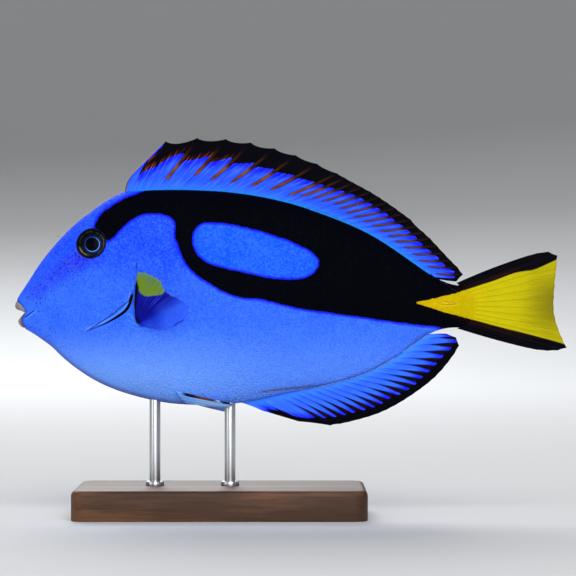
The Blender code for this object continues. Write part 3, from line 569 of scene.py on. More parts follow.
def segment_distances(x, z, starts, ends):
    """Distance to the nearest of some segments, below zero to the left of its run."""
    best = np.full(np.shape(x), 1e9)
    side = np.ones(np.shape(x))
    for (ax, az), (bx, bz) in zip(starts, ends):
        run_x, run_z = bx - ax, bz - az
        off_x, off_z = x - ax, z - az
        share = (off_x * run_x + off_z * run_z) / max(run_x ** 2 + run_z ** 2, 1e-12)
        share = np.clip(share, 0.0, 1.0)
        distance = np.hypot(off_x - share * run_x, off_z - share * run_z)
        nearer = distance < best
        best = np.where(nearer, distance, best)
        side = np.where(nearer, np.where(run_x * off_z - run_z * off_x > 0.0, -1.0, 1.0), side)
    return best * side


def inside_distance(x, z, outline, steps=4):
    """Distance to a closed outline, above zero inside it and below zero outside."""
    loop = smooth_loop(outline, steps)
    after = np.roll(loop, -1, axis=0)
    inside = np.zeros(np.shape(x), bool)
    for (ax, az), (bx, bz) in zip(loop, after):
        if az != bz:
            crossing = (z > min(az, bz)) & (z <= max(az, bz)) & (x < ax + (z - az) / (bz - az) * (bx - ax))
            inside ^= crossing
    distance = np.abs(segment_distances(x, z, loop, after))
    return np.where(inside, distance, -distance)


def line_distance(x, z, line, steps=40):
    """Distance to an open line, above zero to the right of its run."""
    path = along(line, np.linspace(0.0, 1.0, steps))
    return segment_distances(x, z, path[:-1], path[1:])


def ease(value, start, end):
    """0 before start and 1 after end, with a smooth rise between; the two may be swapped."""
    share = np.clip((value - start) / (end - start), 0.0, 1.0)
    return share * share * (3.0 - 2.0 * share)


def hump(distance, width):
    """A round hump: 1 at no distance and near 0 past twice its width."""
    return np.exp(-(distance / width) ** 2)


def full_rib(rib):
    """A rib with its side point, half way between top and foot where it is left out."""
    if len(rib) == 7:
        return rib
    return (*rib, (rib[0] + rib[2]) / 2.0, (rib[1] + rib[3]) / 2.0)


rib_at = smooth_rows([full_rib(rib) for rib in MOUTH_RIBS + BODY_RIBS])
FINE_POSITIONS = np.linspace(LIP_CREST_RIB, len(MOUTH_RIBS + BODY_RIBS) - 1.0, 1600)
FINE_RIBS = rib_at(FINE_POSITIONS)


def back(x):
    """Height of the back at x."""
    return np.interp(x, FINE_RIBS[:, 0], FINE_RIBS[:, 1])


def belly(x):
    """Height of the belly at x."""
    return np.interp(x, FINE_RIBS[:, 2], FINE_RIBS[:, 3])


def width_share(rise):
    """Share of the rib's half width at a rise from -1 at its foot to 1 at its top."""
    across = np.sqrt(np.clip(1.0 - rise ** 2, 0.0, 1.0))
    return across ** (SECTION_POWER + BACK_SHARPNESS * rise)


def flank(x, z):
    """Half width of the body at a point of the side view, behind the snout."""
    top = back(x)
    foot = belly(x)
    rise = np.clip((2.0 * z - top - foot) / (top - foot), -1.0, 1.0)
    return np.interp(x, FINE_RIBS[:, 0], FINE_RIBS[:, 4]) * width_share(rise)


def off_flank(x, z, out):
    """Point that stands off the left flank by a distance along its outward normal."""
    step = 0.05
    slope_x = (flank(x + step, z) - flank(x - step, z)) / (2 * step)
    slope_z = (flank(x, z + step) - flank(x, z - step)) / (2 * step)
    normal = np.stack((-slope_x, -np.ones_like(slope_x), -slope_z), axis=-1)
    normal /= np.linalg.norm(normal, axis=-1, keepdims=True)
    start = np.stack((x + 0.0 * slope_x, -flank(x, z), z + 0.0 * slope_x), axis=-1)
    return start + normal * np.asarray(out)[..., None]


def seen(points):
    """Side view place of each point as the camera sees it, drawn on the middle plane."""
    growth = VIEW_DISTANCE / (VIEW_DISTANCE - np.abs(points[..., 1]))
    return VIEW_X + (points[..., 0] - VIEW_X) * growth, VIEW_Z + (points[..., 2] - VIEW_Z) * growth


def off_flank_seen(x, z, out):
    """Point off the left flank that the camera sees at a place of the side view."""
    start_x, start_z = np.array(x, float), np.array(z, float)
    for _ in range(4):
        seen_x, seen_z = seen(off_flank(start_x, start_z, out))
        start_x += x - seen_x
        start_z += z - seen_z
    return off_flank(start_x, start_z, out)


def tail_root_x(z):
    """Where the stalk ends and the tail fin begins at a height."""
    line = along(TAIL_ROOT_LINE, np.linspace(1.0, 0.0, 60))
    return np.interp(z, line[:, 1], line[:, 0])


def smooth_skin(position, turn):
    """A point of the body without its relief; turn 0 is the back and 0.25 the left side."""
    top_x, top_z, foot_x, foot_z, half, side_x, side_z = np.moveaxis(rib_at(position), -1, 0)
    rise = np.cos(2.0 * math.pi * turn)
    upper = rise > 0.0
    x = side_x + np.where(upper, top_x - side_x, side_x - foot_x) * rise
    z = side_z + np.where(upper, top_z - side_z, side_z - foot_z) * rise
    half = half * (1.0 - 0.45 * ease(x - tail_root_x(z), -TAIL_ROUNDING, 0.0))
    y = -np.sign(np.sin(2.0 * math.pi * turn)) * half * width_share(rise)
    return np.stack((x, y, z), axis=-1)


EYE_SKIN = off_flank(np.array(EYE_CENTRE[0]), np.array(EYE_CENTRE[1]), np.array(0.0))
EYE_OUT = off_flank(np.array(EYE_CENTRE[0]), np.array(EYE_CENTRE[1]), np.array(1.0)) - EYE_SKIN


def from_eye_axis(points):
    """Distance of each point from the axis of the eye on its own side."""
    left = points.copy()
    left[..., 1] = -np.abs(left[..., 1])
    off = left - EYE_SKIN
    return np.linalg.norm(off - (off @ EYE_OUT)[..., None] * EYE_OUT, axis=-1)


def relief(points, position):
    """Height of the skin's modelling over the smooth body, in millimetres."""
    x, z = seen(points)
    height = np.full(x.shape, -SKIN_INSET)
    outside = ease(position, LIP_CREST_RIB - 0.4, LIP_CREST_RIB + 0.6)
    throat = ease(z, -13.5, -10.8)
    gill = line_distance(x, z, GILL_MARGIN)
    cover = throat * (0.12 * ease(z, 24.0, 18.0) + 0.88 * ease(z, 10.0, 4.0))
    height += cover * np.where(gill > 0.0, 0.36 * np.exp(-gill / 2.6), -0.5 * hump(gill + 0.3, 0.6))
    fold = line_distance(x, z, GILL_FOLD)
    height += throat * (0.14 * np.exp(-np.abs(fold) / 0.9) - 0.26 * hump(fold, 0.3)) * ease(z, 4.0, 2.0)
    cheek = line_distance(x, z, CHEEK_LINE)
    cheek_share = ease(z, -12.0, -6.0) * ease(z, 24.0, 18.0)
    height += cheek_share * 0.1 * np.tanh(cheek / 2.4) * np.exp(-np.abs(cheek) / 7.0)
    for line in ROOT_FOLDS:
        height += 0.12 * hump(line_distance(x, z, line, 12), 0.5)
    eye = from_eye_axis(points)
    height += 0.3 * hump(eye - EYE_RADIUS - 1.2, 1.1)
    height -= SOCKET_DEPTH * ease(eye, EYE_RADIUS + 0.15, EYE_RADIUS - 0.5)
    for nostril_x, nostril_z, radius in NOSTRILS:
        off = np.hypot(x - nostril_x, z - nostril_z)
        height += 0.2 * hump(off - radius - 0.25, 0.3) - 0.7 * ease(off, radius + 0.1, radius - 0.3)
    lip = inside_distance(x, z, LIP_OUTLINE)
    height += outside * (0.2 * ease(lip, -0.1, 0.8) - 0.28 * hump(lip + 0.25, 0.35))
    height -= outside * 0.3 * hump(line_distance(x, z, LIP_CREASE, 12), 0.3)
    groove = np.hypot((x - SPINE_MIDDLE_X) / SPINE_GROOVE[0], (z - SPINE_Z) / SPINE_GROOVE[1])
    height -= 0.3 * ease(groove, 1.1, 0.8)
    height -= 0.12 * hump(line_distance(x, z, ANAL_BASE_LINE), 0.5)
    return height


def skin_frame(position, turn):
    """Skin points with relief, and their outward and tailward directions."""
    step = 0.004
    spot = smooth_skin(position, turn)
    tailward = smooth_skin(position + step, turn) - smooth_skin(position - step, turn)
    around = smooth_skin(position, turn + step / 4) - smooth_skin(position, turn - step / 4)
    normal = np.cross(around, tailward)
    normal /= np.maximum(np.linalg.norm(normal, axis=-1, keepdims=True), 1e-9)
    tailward /= np.maximum(np.linalg.norm(tailward, axis=-1, keepdims=True), 1e-9)
    return spot + normal * relief(spot, position)[..., None], normal, tailward


def markings(points):
    """The fields that colour skin and scales alike, in millimetres from each border."""
    x, z = seen(points)
    stripe = inside_distance(x, z, STRIPE_OUTLINE)
    oval = inside_distance(x, z, OVAL_OUTLINE)
    folds = [np.abs(line_distance(x, z, line, 12)) for line in ROOT_FOLDS]
    return {
        "stripe": np.minimum(stripe, -oval),
        "oval": oval,
        "yellow": inside_distance(x, z, YELLOW_OUTLINE),
        "lips": inside_distance(x, z, LIP_OUTLINE),
        "gill": line_distance(x, z, GILL_MARGIN),
        "fold": line_distance(x, z, GILL_FOLD),
        "mark": line_distance(x, z, SHOULDER_MARK, 6),
        "folds": np.min(folds, axis=0),
        "violet": np.abs(line_distance(x, z, VIOLET_LINE)),
        "crease": line_distance(x, z, LIP_CREASE, 12),
        "keel": z - belly(x),
        "eye": from_eye_axis(points),
        "dorsal_line": line_distance(x, z, DORSAL_BASE_LINE),
        "anal_line": line_distance(x, z, ANAL_BASE_LINE),
    }


def deselect():
    """Leave nothing selected."""
    for thing in bpy.context.selected_objects:
        thing.select_set(False)


def mesh_piece(name, points, face_sets, material, fields, outward=True):
    """One mesh piece from points in fish millimetres and arrays of faces, with number fields."""
    corners = np.concatenate([faces.ravel() for faces in face_sets]).astype(np.int32)
    sizes = np.concatenate([np.full(len(faces), faces.shape[1]) for faces in face_sets])
    starts = np.concatenate(([0], np.cumsum(sizes)[:-1])).astype(np.int32)
    mesh = bpy.data.meshes.new(name)
    mesh.vertices.add(len(points))
    mesh.vertices.foreach_set("co", to_world(points).ravel())
    mesh.loops.add(len(corners))
    mesh.loops.foreach_set("vertex_index", corners)
    mesh.polygons.add(len(sizes))
    mesh.polygons.foreach_set("loop_start", starts)
    mesh.update(calc_edges=True)
    mesh.validate()
    if outward:
        shape = bmesh.new()
        shape.from_mesh(mesh)
        bmesh.ops.recalc_face_normals(shape, faces=shape.faces)
        shape.to_mesh(mesh)
        shape.free()
    for field, values in fields.items():
        layer = mesh.attributes.new(field, "FLOAT", "POINT")
        layer.data.foreach_set("value", np.ravel(values).astype(np.float32))
    mesh.shade_smooth()
    mesh.materials.append(material)
    piece = bpy.data.objects.new(name, mesh)
    bpy.context.scene.collection.objects.link(piece)
    return piece


def lay_out(piece, name, layout):
    """Give a piece a UV map from one place for each of its points."""
    layer = piece.data.uv_layers.new(name=name)
    order = np.empty(len(piece.data.loops), np.int32)
    piece.data.loops.foreach_get("vertex_index", order)
    layer.data.foreach_set("uv", layout[order].astype(np.float32).ravel())


def settle(piece, material, slot, *nodes):
    """Bake an added piece's place into its mesh, and give it a material and a body."""
    bpy.context.view_layer.update()
    piece.data.transform(piece.matrix_world)
    piece.matrix_world = Matrix.Identity(4)
    piece.data.materials.clear()
    piece.data.materials.append(material)
    hand_over(piece, slot, *nodes)


def hand_over(piece, slot, *nodes):
    """Tie a piece to the frame: its body and the nodes it stands for."""
    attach(piece, BODY)
    if nodes:
        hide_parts(*nodes)


def web_colour(paint, colours):
    """Yellow of the stalk's wedge and the tail's web: amber in front, darker at the rear."""
    place = paint.place()
    length = paint.part(place, 0)
    height = paint.part(place, 2)
    cloud = paint.noise(place, 220.0, 3.0)
    web = paint.mix(length.step(0.056, 0.084), colours.amber, colours.yellow)
    web = web.glazed(cloud.step(0.35, 0.75) * 0.2, srgb(206, 196, 16))
    middle = abs(height - MIDDLE_Z).step(0.015, 0.002)
    return paint.mix(length.step(0.088, 0.106) * (0.22 + middle * 0.73), web, srgb(116, 108, 10))


def skin_paint(colours):
    """Blue flank, black stripe, yellow stalk and grey lips, with a fine grain.

    Length and height are world x and z in metres. The mesh's own fields, such as the
    distance from the stripe's border, are in millimetres.
    """
    paint = Paint("tang_skin")
    place = paint.place()
    height = paint.part(place, 2)
    length = paint.part(place, 0)
    cloud = paint.noise(place, 90.0, 4.0)
    grain = paint.noise(place, 1500.0, 2.0)
    ripple = paint.noise(place, 420.0, 2.0)
    wobble = (cloud - 0.5) * 0.6 + (ripple - 0.5) * 0.9 + (grain - 0.5) * 0.3
    blue = paint.mix(height.step(0.108, 0.088), colours.back, colours.flank)
    blue = blue.glazed(height.step(0.079, 0.052) * (1.0 - length.step(-0.05, 0.0) * 0.5), colours.belly)
    blue = blue.glazed(length.step(-0.07, -0.04) * height.step(0.09, 0.07) * 0.16, srgb(74, 136, 255))
    near_eye = paint.attribute("eye").step(20.0, 8.0)
    blue = blue.glazed(paint.attribute("violet").step(6.4, 0.4) * (0.55 + near_eye * 0.4), srgb(30, 16, 226))
    blue = blue.glazed(paint.attribute("oval").step(-4.0, 1.0) * 0.9, colours.royal)
    mottle = (cloud * 0.5 + grain * 0.5 + paint.attribute("tint") * 0.4).step(0.45, 1.0)
    blue = blue.glazed(mottle * 0.22, srgb(100, 170, 255))
    blue = blue.glazed((grain * 0.6 + paint.attribute("tint") * 0.4).step(0.5, 0.2) * 0.12, srgb(20, 52, 226))
    snout = length.step(-0.084, -0.094) * height.step(0.098, 0.09) * height.step(0.066, 0.073)
    speck = paint.cells(place, 560.0).step(0.3, 0.16) * snout
    blue = blue.glazed(speck * 0.45, srgb(16, 44, 104))
    # Painted shade: a darker lilac along the belly's lower edge, from the throat to the pelvic fins, where
    # the body turns under.
    keel = paint.attribute("keel")
    keel_shade = keel.step(2.2, 0.4) * length.step(-0.02, -0.04) * length.step(-0.104, -0.09)
    blue = blue.glazed(keel_shade * 0.6, srgb(92, 80, 176))
    stripe = paint.attribute("stripe") + wobble
    blue = blue.glazed(stripe.step(-1.4, -0.3) * 0.9, colours.violet)
    # Painted highlight: pale cyan lines along the skin folds at the pectoral fin's root.
    blue = blue.glazed(paint.attribute("folds").step(0.6, 0.1) * 0.3, srgb(60, 160, 255))
    seam = paint.attribute("anal_line") + wobble * 0.5
    blue = blue.glazed(abs(seam).step(0.8, 0.3) * grain.step(0.3, 0.55) * 0.75, srgb(96, 96, 112))
    colour = paint.mix(stripe.step(-0.12, 0.12), blue, colours.stripe)
    line = abs(paint.attribute("dorsal_line")).step(0.5, 0.15) * length.step(-0.066, -0.058)
    colour = colour.glazed(line * 0.8, colours.cyan)
    yellow = paint.attribute("yellow") + wobble
    brown = yellow.step(-2.6, -0.4) * grain.step(0.4, 0.7) * length.step(0.056, 0.07)
    colour = colour.glazed(brown * 0.6, srgb(44, 20, 4))
    colour = colour.glazed(yellow.step(-0.14, 0.16), web_colour(paint, colours))
    drop = (height - MIDDLE_Z) * (1.0 / MM)
    low = drop.step(5.6, 3.0)
    gill = paint.attribute("gill")
    # Painted shadow: a near-black line in the slit under the gill cover's lower edge, wider lower down.
    slit_shadow = abs(gill + 0.1) - (0.1 + drop.step(-11.0, -2.6) * 0.5) * low
    colour = colour.glazed(gill.step(0.2, 0.7) * gill.step(1.5, 0.9) * low * 0.6, srgb(96, 152, 255))
    colour = colour.glazed(slit_shadow.step(0.14, -0.14) * low, srgb(1, 1, 6))
    rim = abs(gill - 0.3).step(0.5, 0.15) * drop.step(9.5, 7.5) * drop.step(4.0, 6.0)
    colour = colour.glazed(rim * 0.6, srgb(70, 140, 255))
    fold = abs(paint.attribute("fold"))
    colour = colour.glazed(fold.step(0.32, 0.1) * 0.8, srgb(6, 10, 70))
    colour = colour.glazed(abs(paint.attribute("mark")).step(0.4, 0.1) * 0.7, srgb(20, 34, 110))
    lips = paint.attribute("lips") + wobble * 0.4
    lip_colour = paint.mix(cloud.step(0.35, 0.7), colours.lips, srgb(112, 100, 102))
    lip_colour = lip_colour.glazed(lips.step(1.1, 0.3) * height.step(0.082, 0.08) * 0.75, srgb(88, 44, 56))
    colour = colour.glazed(abs(lips).step(0.5, 0.15) * 0.6, srgb(30, 20, 44))
    colour = colour.glazed(lips.step(0.0, 0.3), lip_colour)
    # Painted highlight as a pale line beside the lip crease, and painted shade as a dark line in the crease
    # itself.
    crease = paint.attribute("crease")
    colour = colour.glazed(abs(crease + 0.6).step(0.4, 0.1) * 0.35, srgb(110, 170, 255))
    colour = colour.glazed(abs(crease).step(0.34, 0.1) * 0.9, srgb(6, 20, 50))
    # Dark skin ring round the eye, with painted shade in the socket behind the eyeball.
    colour = colour.glazed(paint.attribute("eye").step(6.5, 6.0), srgb(4, 8, 34))
    # Painted shade: the inside of the mouth, behind the lips' crest, is near black.
    colour = colour.glazed(paint.attribute("mouth"), srgb(10, 6, 14))
    fine = paint.cells(place, 1250.0)
    bumped = paint.bump(fine * 0.7 + grain * 0.5, 0.3, 0.06)
    return paint.set(Base_Color=colour, Roughness=0.42 + cloud * 0.14, Specular_IOR_Level=0.025,
                     Normal=bumped)


class TANG_OT_skin(bpy.types.Operator):
    """Model the one skin of head, gill covers, body and tail stalk"""

    bl_idname = "blue_tang.skin"
    bl_label = "Skin"

    def execute(self, context):
        sizes = context.scene.blue_tang_sizes
        rings, sides = sizes.skin_rings, sizes.skin_sides
        share = np.linspace(0.0, 1.0, rings)
        position = LAST_RIB * np.interp(share, (0.0, 0.14, 0.42, 1.0), (0.0, 0.26, 0.56, 1.0))
        turn = np.arange(sides) / sides
        spread = np.broadcast_to(position[:, None], (rings, sides))
        points, _, _ = skin_frame(spread, np.broadcast_to(turn[None, :], (rings, sides)))
        round_end(points)
        ring = np.arange(rings - 1)[:, None] * sides
        side = np.arange(sides)[None, :]
        after = (side + 1) % sides
        quads = np.stack((ring + side, ring + after, ring + sides + after, ring + sides + side), axis=-1)
        fields = markings(points)
        # Share of the skin inside the mouth, which the paint makes near black as painted shade.
        fields["mouth"] = ease(spread, LIP_CREST_RIB - 0.3, LIP_CREST_RIB - 1.4)
        fields["tint"] = np.full(points.shape[:2], 0.5)
        fields = {name: np.append(values.ravel(), (values[0].mean(), values[-1].mean()))
                  for name, values in fields.items()}
        count = rings * sides
        front = np.stack((np.full(sides, count), side[0], after[0]), axis=1)
        last = count - sides
        rear = np.stack((np.full(sides, count + 1), last + after[0], last + side[0]), axis=1)
        caps = points[[0, -1]].mean(axis=1)
        points = np.concatenate((points.reshape(-1, 3), caps))
        paint = skin_paint(context.scene.blue_tang_colours)
        skin = mesh_piece("tang_skin", points, (quads.reshape(-1, 4), front, rear), paint, fields)
        hand_over(skin, "skin", *FLESH_NODES)
        self.pores()
        return {"FINISHED"}

    @staticmethod
    def pores():
        """Set the dark pores of the cheek into both sides of the head."""
        paint = Paint("pore_skin")
        paint.set(Base_Color=srgb(30, 50, 16), Roughness=0.6, Specular_IOR_Level=0.05)
        spots = np.array(PORES)
        x, z, radius = spots.T
        skin = off_flank_seen(x, z, np.zeros(len(x)))
        out = off_flank_seen(x, z, np.ones(len(x))) - skin
        out /= np.linalg.norm(out, axis=1, keepdims=True)
        skin += out * (relief(skin, np.full(len(x), 12.0)) + PORE_LIFT)[:, None]
        for word, turn in SIDES:
            mirror = np.array((1.0, turn, 1.0))
            bpy.ops.mesh.primitive_uv_sphere_add(segments=12, ring_count=6, radius=1.0)
            one = bpy.context.object
            ball = np.array([vertex.co for vertex in one.data.vertices])
            faces = [np.array(face.vertices) for face in one.data.polygons]
            bpy.data.objects.remove(one, do_unlink=True)
            points = []
            for place, direction, size in zip(skin * mirror, out * mirror, radius):
                spin = np.array(turned_to(direction).to_3x3())
                wide = size * PORE_GROWTH
                points.append(place + (ball * (wide, wide, PORE_HALF_DEPTH)) @ spin.T)
            steps = np.arange(len(points))[:, None, None] * len(ball)
            sets = []
            for corners in (3, 4):
                chosen = np.array([face for face in faces if len(face) == corners])
                sets.append((chosen[None] + steps).reshape(-1, corners))
            piece = mesh_piece("cheek_pores_" + word, np.concatenate(points), sets, paint.material, {})
            hand_over(piece, "skin")


def round_end(points):
    """Trim the stalk's end to the round line where the tail fin begins."""
    points[..., 0] = np.minimum(points[..., 0], tail_root_x(points[..., 2]) - 0.1)


def scale_coat(name, roots, normals, tails, places, lengths, lift, tints, material):
    """A coat of small overlapping scales, each a closed plate rooted in the skin."""
    across = np.cross(tails, normals)
    across /= np.linalg.norm(across, axis=1, keepdims=True)
    back_way = np.cross(normals, across)
    count = len(roots)
    outer, inner = [], []
    for (side, along_scale), height in zip(SCALE_OUTLINE, SCALE_HEIGHTS):
        spot = roots + across * (side * lengths)[:, None] + back_way * (along_scale * lengths)[:, None]
        outer.append(spot + normals * (height * lift)[:, None])
        inner.append(spot - normals * SCALE_SINK)
    outer.append(roots + normals * (SCALE_CENTRE_HEIGHT * lift)[:, None])
    outer = np.stack(outer, axis=1)
    points = np.concatenate((outer, np.stack(inner, axis=1)), axis=1)
    edge = len(SCALE_OUTLINE)
    one = []
    for i in range(edge):
        j = (i + 1) % edge
        one.append((edge, j, i))
        one += [(i, j, edge + 1 + j), (i, edge + 1 + j, edge + 1 + i)]
    for i in range(1, edge - 1):
        one.append((edge + 1, edge + 1 + i, edge + 2 + i))
    corners = points.shape[1]
    faces = (np.array(one)[None] + (np.arange(count) * corners)[:, None, None]).reshape(-1, 3)
    fields = {key: np.concatenate((values, values[:, :edge]), axis=1)
              for key, values in markings(outer).items()}
    fields["tint"] = np.repeat(tints, corners)
    piece = mesh_piece(name, points.reshape(-1, 3), (faces,), material, fields, outward=False)
    walls = np.array([edge not in face for face in one])
    flat = piece.data.attributes.new("sharp_face", "BOOLEAN", "FACE")
    flat.data.foreach_set("value", np.tile(walls, count))
    template = np.array(list(SCALE_OUTLINE) + [(0.0, 0.0)] + list(SCALE_OUTLINE)) * BAKE_PATCH
    lay_out(piece, "OFBake", (places[:, None, :] + template[None]).reshape(-1, 2))
    return piece


class TANG_OT_scales(bpy.types.Operator):
    """Lay the fine overlapping scales over the skin"""

    bl_idname = "blue_tang.scales"
    bl_label = "Scales"

    def execute(self, context):
        sizes = context.scene.blue_tang_sizes
        length = sizes.scale_length / MM
        lift = sizes.scale_lift / MM
        dice = np.random.default_rng(SCALE_SEED)
        positions, turns = self.root_places(length, dice)
        points, normals, tails = skin_frame(positions, turns)
        fields = markings(points)
        x, z = seen(points)
        keep = (fields["lips"] < -0.7) & (fields["eye"] > EYE_RADIUS + 0.9) & (np.abs(fields["crease"]) > 0.6)
        keep &= (np.abs(fields["gill"] + 0.1) > 0.95) | (z > 5.0) | (z < -12.0)
        keep &= (points[:, 0] < tail_root_x(points[:, 2]) - 0.5)
        keep &= np.hypot((x - SPINE_MIDDLE_X) / SPINE_CLEARING[0], (z - SPINE_Z) / SPINE_CLEARING[1]) > 1.2
        for nostril_x, nostril_z, radius in NOSTRILS:
            keep &= np.hypot(x - nostril_x, z - nostril_z) > radius + 0.6
        for pore_x, pore_z, radius in PORES:
            keep &= np.hypot(x - pore_x, z - pore_z) > radius + 0.35
        spin = dice.normal(0.0, 0.14, len(points))[:, None]
        tails = tails * np.cos(spin) + np.cross(normals, tails) * np.sin(spin)
        tints = dice.uniform(0.0, 1.0, len(points))
        places = np.stack((0.02 + 0.96 * positions / LAST_RIB, 0.02 + 0.96 * turns), axis=1)
        grown = length * (0.72 + 0.28 * ease(points[:, 0], 4.0, 60.0)) * dice.uniform(0.85, 1.15, len(points))
        lifts = lift * dice.uniform(0.6, 1.3, len(points)) * (1.0 - 0.7 * ease(points[:, 0], 150.0, 166.0))
        material = bpy.data.materials["tang_skin"]
        left = turns < 0.5
        head = points[:, 0] < HEAD_COAT_END_X
        rear = points[:, 0] >= REAR_COAT_START_X
        zones = {
            "scales_head": head,
            "scales_left_front": left & ~head & ~rear,
            "scales_left_rear": left & rear,
            "scales_right_front": ~left & ~head & ~rear,
            "scales_right_rear": ~left & rear,
        }
        for name, zone in zones.items():
            chosen = keep & zone
            piece = scale_coat(name, points[chosen], normals[chosen], tails[chosen], places[chosen],
                               grown[chosen] * SCALE_GROWTH, lifts[chosen], tints[chosen], material)
            hand_over(piece, "skin")
        return {"FINISHED"}

    @staticmethod
    def root_places(length, dice):
        """Staggered rows of scale roots, as rib positions and turns round the body."""
        fine = np.linspace(LIP_CREST_RIB + 1.2, LAST_RIB, 4000)
        side_line = smooth_skin(fine, np.full(fine.shape, 0.25))
        travelled = np.concatenate(([0.0], np.cumsum(np.linalg.norm(np.diff(side_line, axis=0), axis=1))))
        rows = np.arange(0.4, travelled[-1], length * SCALE_SPACING)
        row_positions = np.interp(rows, travelled, fine)
        turn = np.linspace(0.0, 1.0, 721)
        positions, turns = [], []
        for i, position in enumerate(row_positions):
            ring = smooth_skin(np.full(turn.shape, position), turn)
            girth = np.concatenate(([0.0], np.cumsum(np.linalg.norm(np.diff(ring, axis=0), axis=1))))
            spacing = length * (SCALE_SPACING if position > 20 else 0.78)
            count = max(int(girth[-1] / spacing), 12)
            at = (np.arange(count) + 0.5 * (i % 2) + dice.uniform(-0.3, 0.3, count)) / count * girth[-1]
            turns.append(np.interp(at % girth[-1], girth, turn))
            shift = dice.uniform(-0.3, 0.3, count) * length
            positions.append(np.interp(rows[i] + shift, travelled, fine))
        return np.concatenate(positions), np.concatenate(turns)


def fin_columns(rays, per_ray):
    """Positions across a fin, closer together at each ray's ridge."""
    part = np.arange(per_ray) / per_ray
    eased = part - 0.09 * np.sin(4.0 * math.pi * part) / 2.0
    return np.concatenate([ray + eased for ray in range(rays - 1)] + [[rays - 1.0]])


def ridge_share(offset, width):
    """Height of a round ridge at an offset from its middle, both in ray spacings."""
    return np.sqrt(np.clip(1.0 - (offset / width) ** 2, 0.0, 1.0))


def between_rays(values, columns):
    """Values given at the rays, read smoothly at each column."""
    values = np.asarray(values, float)
    whole = np.clip(columns.astype(int), 0, len(values) - 2)
    part = (columns - whole)[:, None]
    return values[whole] * (1.0 - part) + values[whole + 1] * part


def fin_sheet(name, middle, ray, thickness, normal, material, fields):
    """A closed membrane with a thickness at each point of its middle grid."""
    rows, columns = middle.shape[:2]
    if normal is None:
        normal = np.cross(np.gradient(middle, axis=1), np.gradient(middle, axis=0))
        normal /= np.linalg.norm(normal, axis=2, keepdims=True)
    offset = normal * thickness[..., None] / 2.0
    count = rows * columns
    points = np.concatenate(((middle + offset).reshape(count, 3), (middle - offset).reshape(count, 3)))
    i, j = np.meshgrid(np.arange(rows - 1), np.arange(columns - 1), indexing="ij")
    a = (i * columns + j).ravel()
    one = np.stack((a, a + columns, a + columns + 1, a + 1), axis=1)
    other = one[:, ::-1] + count
    rim = list(range(columns - 1)) + [k * columns + columns - 1 for k in range(rows - 1)]
    rim += [(rows - 1) * columns + k for k in range(columns - 1, 0, -1)]
    rim += [k * columns for k in range(rows - 1, 0, -1)]
    rim = np.array(rim)
    after = np.roll(rim, -1)
    wall = np.stack((rim, after, after + count, rim + count), axis=1)
    doubled = {key: np.tile(np.broadcast_to(values, (rows, columns)).ravel(), 2)
               for key, values in fields.items()}
    piece = mesh_piece(name, points, (one, other, wall), material, doubled)
    rays = np.broadcast_to(ray, (rows, columns))
    layout = np.stack((rays, fields["root"] / 10.0), axis=-1).reshape(count, 2)
    lay_out(piece, "Rays", np.concatenate((layout, layout)))
    return piece


def flat_fin(feet, tips, sags, bows, rows, columns):
    """Middle grid of a fin in the middle plane; sags are in millimetres between the rays."""
    foot = between_rays(feet, columns)
    tip = between_rays(tips, columns)
    bow = between_rays(np.asarray(bows, float)[:, None], columns)
    part = columns - np.floor(columns)
    sag = np.asarray(sags, float)[np.clip(columns.astype(int), 0, len(sags) - 1)]
    run = tip - foot
    length = np.linalg.norm(run, axis=1, keepdims=True)
    tip = tip - (sag * (4.0 * part * (1.0 - part)) ** 0.8)[:, None] * run / length
    climb = np.linspace(0.0, 1.0, rows)[:, None, None]
    line = foot[None] + (tip - foot)[None] * climb
    across = np.stack((-run[:, 1], run[:, 0]), axis=1)
    line = line + across[None] * bow[None] * 4.0 * climb * (1.0 - climb)
    return np.stack((line[..., 0], 0.0 * line[..., 0], line[..., 1]), axis=-1)


def spiny_row(spine_feet, spine_tips, last_foot, soft_edge, soft_rays):
    """Foot x and tip of every ray: spines first, then soft rays spread along their edge."""
    soft = np.linspace(0.0, 1.0, soft_rays + 1)[1:]
    last = spine_feet[-1]
    feet_x = np.concatenate((spine_feet, last + (last_foot - last) * soft))
    return feet_x, np.concatenate((spine_tips, along(soft_edge, soft)))


def rayed_grid(feet, tips, sags, bows, rows, columns, spines, splits):
    """Middle grid of a flat fin with its ridges, thickness and distances from root and edge."""
    middle = flat_fin(feet, tips, sags, bows, rows, columns)
    climb = np.linspace(0.0, 1.0, rows)[:, None]
    ridges = soft_ridges(columns, climb, spines, splits)
    return middle, ridges, fin_thickness(ridges, climb), *fin_fields(middle)


def crossing(middle, root, line):
    """Distance from the root at which each column meets a line drawn over the fin."""
    path = smooth_rows(line)(np.linspace(0.0, len(line) - 1.0, 4 * len(line)))
    share = np.linspace(0.0, 1.0, 120)[:, None]
    x = middle[0, :, 0] + (middle[-1, :, 0] - middle[0, :, 0]) * share
    z = middle[0, :, 2] + (middle[-1, :, 2] - middle[0, :, 2]) * share
    nearest = np.argmin(np.abs(segment_distances(x, z, path[:-1], path[1:])), axis=0)
    return share[nearest, 0] * root[-1]


def fin_fields(middle):
    """Distances along each column from the root and from the edge."""
    steps = np.linalg.norm(np.diff(middle, axis=0), axis=2)
    root = np.concatenate((np.zeros((1, middle.shape[1])), np.cumsum(steps, axis=0)))
    return root, root[-1:] - root


def ray_offset(columns):
    """Signed distance to the nearest ray, in ray spacings."""
    return columns - np.round(columns)


def ray_spacing(middle, columns):
    """Distance between neighbouring rays at each point of the grid."""
    run = np.linalg.norm(np.gradient(middle, axis=1), axis=2)
    return run / np.maximum(np.gradient(columns), 1e-6)[None, :]


